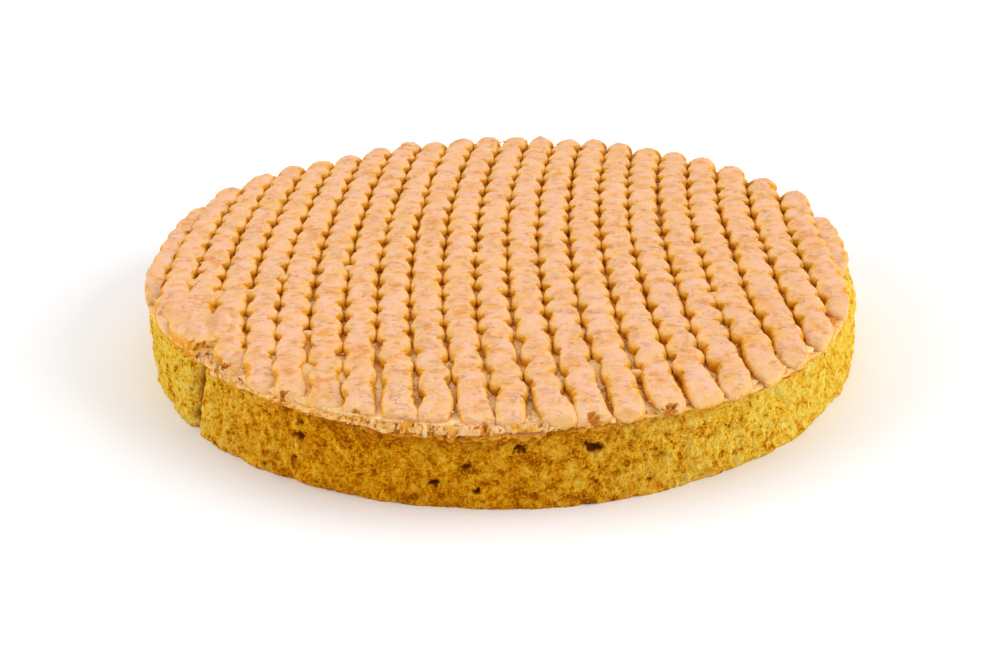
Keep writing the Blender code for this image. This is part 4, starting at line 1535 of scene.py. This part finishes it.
def crest_colour(recipe, colours, cracked):
    """The tops of the ropes, from the widest zones to the finest marks."""
    wide_spots = recipe.limits(recipe.spots(0.050, detail=2.0), 0.38, 0.62)
    crest = recipe.mix(wide_spots, colours.crest, colours.crest_pink)
    pinker = recipe.limits(recipe.spots(0.0085, shift=31.0), 0.42, 0.60)
    crest = recipe.mix(pinker, crest, colours.crest_pink)
    tone = recipe.spots(0.0060, detail=5.0, shift=11.0, rough=0.65)
    crest = recipe.mix(recipe.limits(tone, 0.42, 0.68, 0.0, 0.80), crest, colours.crease)
    # Seams between the folds are painted darker: partly their own colour, partly painted shade in
    # the seams
    crease = recipe.limits(recipe.attribute("crease"), 0.25, 1.0, 0.0, 0.50)
    crest = recipe.mix(crease, crest, colours.crease)
    patches = recipe.limits(recipe.spots(0.0070, shift=3.0), 0.56, 0.72, 0.0, 0.75)
    toasted = recipe.limits(recipe.spots(0.0022, detail=4.0), 0.3, 0.6, 0.3, 0.9)
    toasted = recipe.times(recipe.attribute("toast"), toasted)
    crest = recipe.mix(recipe.larger(patches, toasted), crest, colours.browned)
    smudge = recipe.spots(0.0034, stretch=(0.6, 1.2, 1.0), shift=25.0)
    crest = recipe.mix(recipe.limits(smudge, 0.56, 0.70, 0.0, 0.55), crest, SMUDGE)
    crest = recipe.mix(cracked, crest, colours.cracks)
    cream = recipe.attribute("cream")
    crest = recipe.mix(cream, crest, colours.cream)
    flecks = recipe.limits(recipe.spots(0.0019, detail=4.0, shift=35.0, rough=0.65), 0.56, 0.66)
    crest = recipe.mix(recipe.times(cream, flecks), crest, colours.browned)
    eye = recipe.limits(recipe.attribute("eye"), 0.15, 0.70, 0.0, 0.85)
    return recipe.mix(eye, crest, FOLD_EYE)


def baked_macaroon(colours):
    recipe = Recipe("baked macaroon", roughness=0.7, shine=0.2)
    cracked = fine_cracks(recipe)
    crest = crest_colour(recipe, colours, cracked)
    low = recipe.attribute("low")
    uneven = recipe.swing(0.0024, detail=5.0, shift=7.0, rough=0.68)
    torn = recipe.swing(0.0013, detail=4.0, shift=17.0, rough=0.7)
    # Lower and more notched points are painted from flank to amber to notch: partly the browner
    # baked sides, partly painted shade in grooves and notches
    in_notch = recipe.limits(low, 0.03, 0.22, 0.0, 0.45)
    edge = recipe.plus(low, recipe.times(recipe.attribute("notch"), in_notch))
    edge = recipe.plus(edge, recipe.times(uneven, 0.45))
    deep = recipe.plus(edge, recipe.times(torn, 1.5))
    edge = recipe.plus(edge, recipe.times(torn, 0.30))
    colour = recipe.mix(recipe.limits(edge, 0.02, 0.14, 0.0, 0.7), crest, UPPER_FLANK)
    colour = recipe.mix(recipe.limits(edge, 0.15, 0.31), colour, colours.flank)
    colour = recipe.mix(recipe.limits(deep, 0.32, 0.50), colour, colours.amber)
    colour = recipe.mix(recipe.limits(deep, 0.62, 0.95), colour, colours.notch)
    broken = recipe.attribute("broken")
    ragged = recipe.times(torn, recipe.limits(broken, 0.0, 0.3, 0.0, 1.2))
    broken = recipe.plus(broken, ragged)
    colour = recipe.mix(recipe.limits(broken, 0.10, 0.45), colour, colours.hollow)
    ash = recipe.limits(recipe.spots(0.0009, detail=4.0, shift=27.0, rough=0.7), 0.42, 0.60)
    ash = recipe.times(ash, recipe.limits(broken, 0.30, 0.90, 0.0, 0.8))
    colour = recipe.mix(ash, colour, ASH)
    fine = recipe.spots(0.0010, detail=4.0, shift=9.0)
    height = recipe.less(fine, recipe.times(cracked, 0.8))
    return recipe.finish(colour, height, depth=0.00030, strength=0.7)


def sugary_film(colours):
    recipe = Recipe("sugary film", roughness=0.50, shine=0.3)
    cloud = recipe.plus(recipe.attribute("sugary"), recipe.spots(0.0026, detail=5.0, rough=0.7))
    brown = recipe.mix(recipe.limits(cloud, 0.30, 0.55), colours.notch, colours.amber)
    colour = recipe.mix(recipe.limits(cloud, 0.60, 0.90), brown, colours.sugar)
    bare = recipe.spots(0.0050, detail=4.0, shift=45.0, rough=0.6)
    colour = recipe.mix(recipe.limits(bare, 0.54, 0.62, 0.0, 0.65), colour, BARE_FILM)
    colour = recipe.mix(recipe.attribute("creamy"), colour, colours.cream)
    fleck = recipe.limits(recipe.cells(0.0010), 0.08, 0.30, 0.9, 0.0)
    fleck = recipe.times(fleck, recipe.limits(cloud, 0.45, 0.80, 0.12, 1.0))
    colour = recipe.mix(fleck, colour, SUGAR_FLECK)
    dark = recipe.limits(recipe.spots(0.0011, shift=5.0), 0.54, 0.70, 0.0, 0.45)
    colour = recipe.mix(dark, colour, colours.notch)
    return recipe.finish(colour, recipe.spots(0.0008, shift=2.0), depth=0.0004)


def sugar_crystal(colours):
    recipe = Recipe("sugar grains", roughness=0.18)
    return recipe.finish(recipe.mix(recipe.attribute("tint"), colours.flank, SUGAR_CRYSTAL))


def crisp_crumbs(colours):
    recipe = Recipe("crisp crumbs", roughness=0.75)
    tint = recipe.attribute("tint")
    colour = recipe.mix(recipe.limits(tint, 0.15, 0.60), colours.cream, colours.flank)
    colour = recipe.mix(recipe.limits(tint, 0.62, 0.85), colour, colours.hollow)
    return recipe.finish(colour, recipe.spots(0.0007), depth=0.0003)


def crumb_tone(recipe, lit, grains):
    """How pale the crumb is, from its wide zones down to its curds and grains."""
    tone = recipe.times(recipe.spots(0.0050, detail=9.0, shift=14.0, rough=0.72), 1.25)
    # The painted light of the sides raises the tone a little, and the painted shade under the lip
    # lowers it
    tone = recipe.plus(tone, recipe.times(lit, 0.04))
    tone = recipe.less(tone, 0.110)
    tone = recipe.less(tone, recipe.times(recipe.attribute("browning"), 0.10))
    tone = recipe.plus(tone, recipe.times(recipe.swing(0.020, detail=2.0, shift=3.0), 0.18))
    tone = recipe.plus(tone, recipe.times(recipe.less(grains, 0.5), 0.80))
    curds = recipe.swing(0.0026, shift=52.0, rough=0.6)
    return recipe.plus(tone, recipe.times(curds, 0.60))


def crumb_colour(recipe, colours, tone, lit):
    """The plain crumb: brown, gold and yellow, with paler copies of each painted where the side is
    lit most.
    """
    light = recipe.limits(lit, 0.1, 0.9)
    palest = recipe.limits(lit, 0.70, 1.20)
    darkest = recipe.mix(palest, colours.toasted, PAINTED_LIGHT_DARKEST)
    dark_crumb = recipe.mix(light, colours.baked, PAINTED_LIGHT_BAKED)
    plain_crumb = recipe.mix(light, colours.gold, PAINTED_LIGHT_GOLD)
    yellow = recipe.mix(light, YELLOW_CRUMB, colours.pale)
    clear = recipe.mix(light, YELLOW_CRUMB, PAINTED_LIGHT_CLEAR)
    colour = recipe.mix(recipe.limits(tone, 0.34, 0.44), darkest, dark_crumb)
    colour = recipe.mix(recipe.limits(tone, 0.42, 0.53), colour, plain_crumb)
    colour = recipe.mix(recipe.limits(tone, 0.53, 0.67), colour, yellow)
    colour = recipe.mix(recipe.limits(tone, 0.70, 0.84), colour, colours.highlight)
    bright = recipe.limits(recipe.spots(0.0008, shift=62.0, rough=0.6), 0.56, 0.66, 0.0, 0.8)
    colour = recipe.mix(bright, colour, clear)
    return colour, clear


def baked_sponge(colours):
    recipe = Recipe("baked sponge", roughness=0.95, shine=0.0)
    # lit is the painted light of the sides: lit copies of the colours are mixed in where it is
    # strong, and dim weakens the dark marks there
    lit = recipe.attribute("paleness")
    dim = recipe.limits(lit, 0.0, 1.25, 1.0, 0.40)
    grains = recipe.spots(0.0010, detail=4.0, shift=12.0, rough=0.65)
    tone = crumb_tone(recipe, lit, grains)
    colour, clear = crumb_colour(recipe, colours, tone, lit)
    speck = recipe.limits(recipe.spots(0.0009, shift=92.0, rough=0.6), 0.58, 0.68, 0.0, 0.6)
    colour = recipe.mix(recipe.times(speck, dim), colour, colours.toasted)
    clump = recipe.limits(recipe.spots(0.0034, shift=82.0, rough=0.6), 0.57, 0.68, 0.0, 0.65)
    colour = recipe.mix(clump, colour, clear)
    stain = recipe.spots(0.0027, detail=5.0, shift=4.0, rough=0.66)
    stain = recipe.limits(recipe.less(stain, recipe.times(lit, 0.05)), 0.58, 0.70, 0.0, 0.75)
    colour = recipe.mix(recipe.times(stain, dim), colour, colours.toasted)
    # Sunken parts of the crumb's relief are painted toasted brown: painted shade in the dents
    sunk = recipe.limits(recipe.attribute("lump"), -1.5, -0.3, 0.55, 0.0)
    colour = recipe.mix(recipe.times(sunk, dim), colour, colours.toasted)
    # Painted shade under the lip, mottled
    lip_shade_mottle = recipe.spots(0.0030, detail=4.0, shift=72.0, rough=0.65)
    lip_shade_mottle = recipe.limits(lip_shade_mottle, 0.40, 0.62, 0.15, 0.9)
    colour = recipe.mix(recipe.times(recipe.attribute("browning"), lip_shade_mottle), colour, LIP_SHADE_COLOUR)
    # Small pores and the holes and pits are painted dark brown: painted shade inside them
    tiny = recipe.spots(0.0017, detail=4.0, stretch=(1, 1, 1.5), shift=21.0, rough=0.6)
    tiny = recipe.times(recipe.limits(tiny, 0.67, 0.73), recipe.times(dim, 0.7))
    colour = recipe.mix(tiny, colour, colours.pore)
    hollow = recipe.limits(recipe.attribute("hollow"), 0.25, 1.2)
    colour = recipe.mix(hollow, colour, colours.pore)
    # The narrow bottom of the crease is painted dark: painted shade
    gash = recipe.limits(recipe.attribute("gash"), 0.25, 0.9, 0.0, 0.75)
    colour = recipe.mix(gash, colour, GASH_SHADE)
    fine = recipe.spots(0.0005, shift=32.0, rough=0.6)
    height = recipe.plus(grains, recipe.times(fine, 0.5))
    height = recipe.less(height, recipe.times(tiny, 0.8))
    return recipe.finish(colour, height, depth=0.0015)


# Studio


def place_camera():
    sight = Vector((0, math.cos(CAMERA_ELEVATION), -math.sin(CAMERA_ELEVATION)))
    right = Vector((1, 0, 0))
    up = right.cross(sight)
    turned_right = right * math.cos(CAMERA_ROLL) + up * math.sin(CAMERA_ROLL)
    turned_up = up * math.cos(CAMERA_ROLL) - right * math.sin(CAMERA_ROLL)
    lens = bpy.data.cameras.new("camera")
    lens.sensor_width = SENSOR_WIDTH
    lens.lens = CAMERA_LENS
    lens.clip_start = CLIP_START
    camera = bpy.data.objects.new("camera", lens)
    bpy.context.scene.collection.objects.link(camera)
    turn = Matrix((turned_right, turned_up, -sight)).transposed().to_4x4()
    camera.matrix_world = Matrix.Translation(CAMERA_TARGET - sight * CAMERA_DISTANCE) @ turn
    bpy.context.scene.camera = camera


def soft_lamp(name, direction, softness, strength):
    """Soft light that comes from a direction."""
    lamp = bpy.data.lights.new(name, "SUN")
    lamp.angle = math.radians(softness)
    lamp.energy = strength
    holder = bpy.data.objects.new(name, lamp)
    bpy.context.scene.collection.objects.link(holder)
    holder.rotation_euler = Vector(direction).to_track_quat("Z", "Y").to_euler()


def lay_floor():
    shape = bmesh.new()
    bmesh.ops.create_grid(shape, x_segments=2, y_segments=2, size=FLOOR_SIZE)
    mesh = bpy.data.meshes.new("floor")
    shape.to_mesh(mesh)
    shape.free()
    floor = bpy.data.objects.new("floor", mesh)
    bpy.context.scene.collection.objects.link(floor)
    recipe = Recipe("pale floor", roughness=0.9)
    mesh.materials.append(recipe.finish((FLOOR_GREY, FLOOR_GREY, FLOOR_GREY, 1.0)))


def light_studio():
    world = bpy.data.worlds.new("soft studio")
    bpy.context.scene.world = world
    world.use_nodes = True
    sky = world.node_tree.nodes["Background"]
    sky.inputs["Color"].default_value = (1, 1, 1, 1)
    sky.inputs["Strength"].default_value = SKY_STRENGTH
    for lamp in LAMPS:
        soft_lamp(*lamp)
    bpy.context.scene.view_settings.view_transform = "Standard"
    bpy.context.scene.view_settings.look = "None"


# Operators


class CakeOperator:
    """What the operators of the pieces share."""

    bl_options = {"REGISTER", "UNDO"}

    @property
    def sizes(self):
        return bpy.context.scene.macaroon_cake.sizes

    @property
    def colours(self):
        return bpy.context.scene.macaroon_cake.colours


class CAKE_OT_sponge(CakeOperator, bpy.types.Operator):
    """Builds the sponge with its open crumb"""

    bl_idname = "cake.sponge"
    bl_label = "Sponge"

    def execute(self, context):
        build_sponge(self.sizes, baked_sponge(self.colours))
        return {"FINISHED"}


class CAKE_OT_topping(CakeOperator, bpy.types.Operator):
    """Builds the piped ropes, the patch and the skin that they lie on"""

    bl_idname = "cake.topping"
    bl_label = "Macaroon Topping"

    def execute(self, context):
        macaroon = baked_macaroon(self.colours)
        build_ropes(self.sizes, macaroon)
        build_bridges(self.sizes, macaroon)
        build_patch(macaroon)
        build_crust(macaroon)
        build_sheets(macaroon)
        build_froth(macaroon)
        return {"FINISHED"}


class CAKE_OT_sugar(CakeOperator, bpy.types.Operator):
    """Builds the sugary film and the grains in the grooves"""

    bl_idname = "cake.sugar"
    bl_label = "Sugar in the Grooves"

    def execute(self, context):
        build_sugar_film(sugary_film(self.colours))
        build_sugar_grains(self.sizes.sugar_grains, sugar_crystal(self.colours))
        return {"FINISHED"}


class CAKE_OT_crumbs(CakeOperator, bpy.types.Operator):
    """Scatters crumbs along the edge of the topping"""

    bl_idname = "cake.crumbs"
    bl_label = "Rim Crumbs"

    def execute(self, context):
        build_rim_crumbs(crisp_crumbs(self.colours))
        return {"FINISHED"}


class CAKE_OT_studio(bpy.types.Operator):
    """Lays the floor and sets the lamps and the camera"""

    bl_idname = "cake.studio"
    bl_label = "Studio"

    def execute(self, context):
        lay_floor()
        light_studio()
        place_camera()
        return {"FINISHED"}


class CAKE_PT_panel(bpy.types.Panel):
    """Lists the pieces of the cake and their settings"""

    bl_idname = "CAKE_PT_panel"
    bl_label = "Macaroon Cake"
    bl_space_type = "VIEW_3D"
    bl_region_type = "UI"
    bl_category = "Macaroon Cake"

    def draw(self, context):
        settings = context.scene.macaroon_cake
        for group in (settings.sizes, settings.colours):
            column = self.layout.column(align=True)
            for name in group.__annotations__:
                column.prop(group, name)
        for operator in OPERATORS:
            self.layout.operator(operator.bl_idname)


OPERATORS = (CAKE_OT_sponge, CAKE_OT_topping, CAKE_OT_sugar, CAKE_OT_crumbs, CAKE_OT_studio)
CLASSES = (CakeSizes, CakeColours, CakeSettings, *OPERATORS, CAKE_PT_panel)


def register():
    for cls in CLASSES:
        bpy.utils.register_class(cls)
    bpy.types.Scene.macaroon_cake = bpy.props.PointerProperty(type=CakeSettings)


def unregister():
    del bpy.types.Scene.macaroon_cake
    for cls in reversed(CLASSES):
        bpy.utils.unregister_class(cls)


def main():
    register()
    bpy.ops.cake.sponge()
    bpy.ops.cake.topping()
    bpy.ops.cake.sugar()
    bpy.ops.cake.crumbs()
    bpy.ops.cake.studio()


if __name__ == "__main__":
    main()
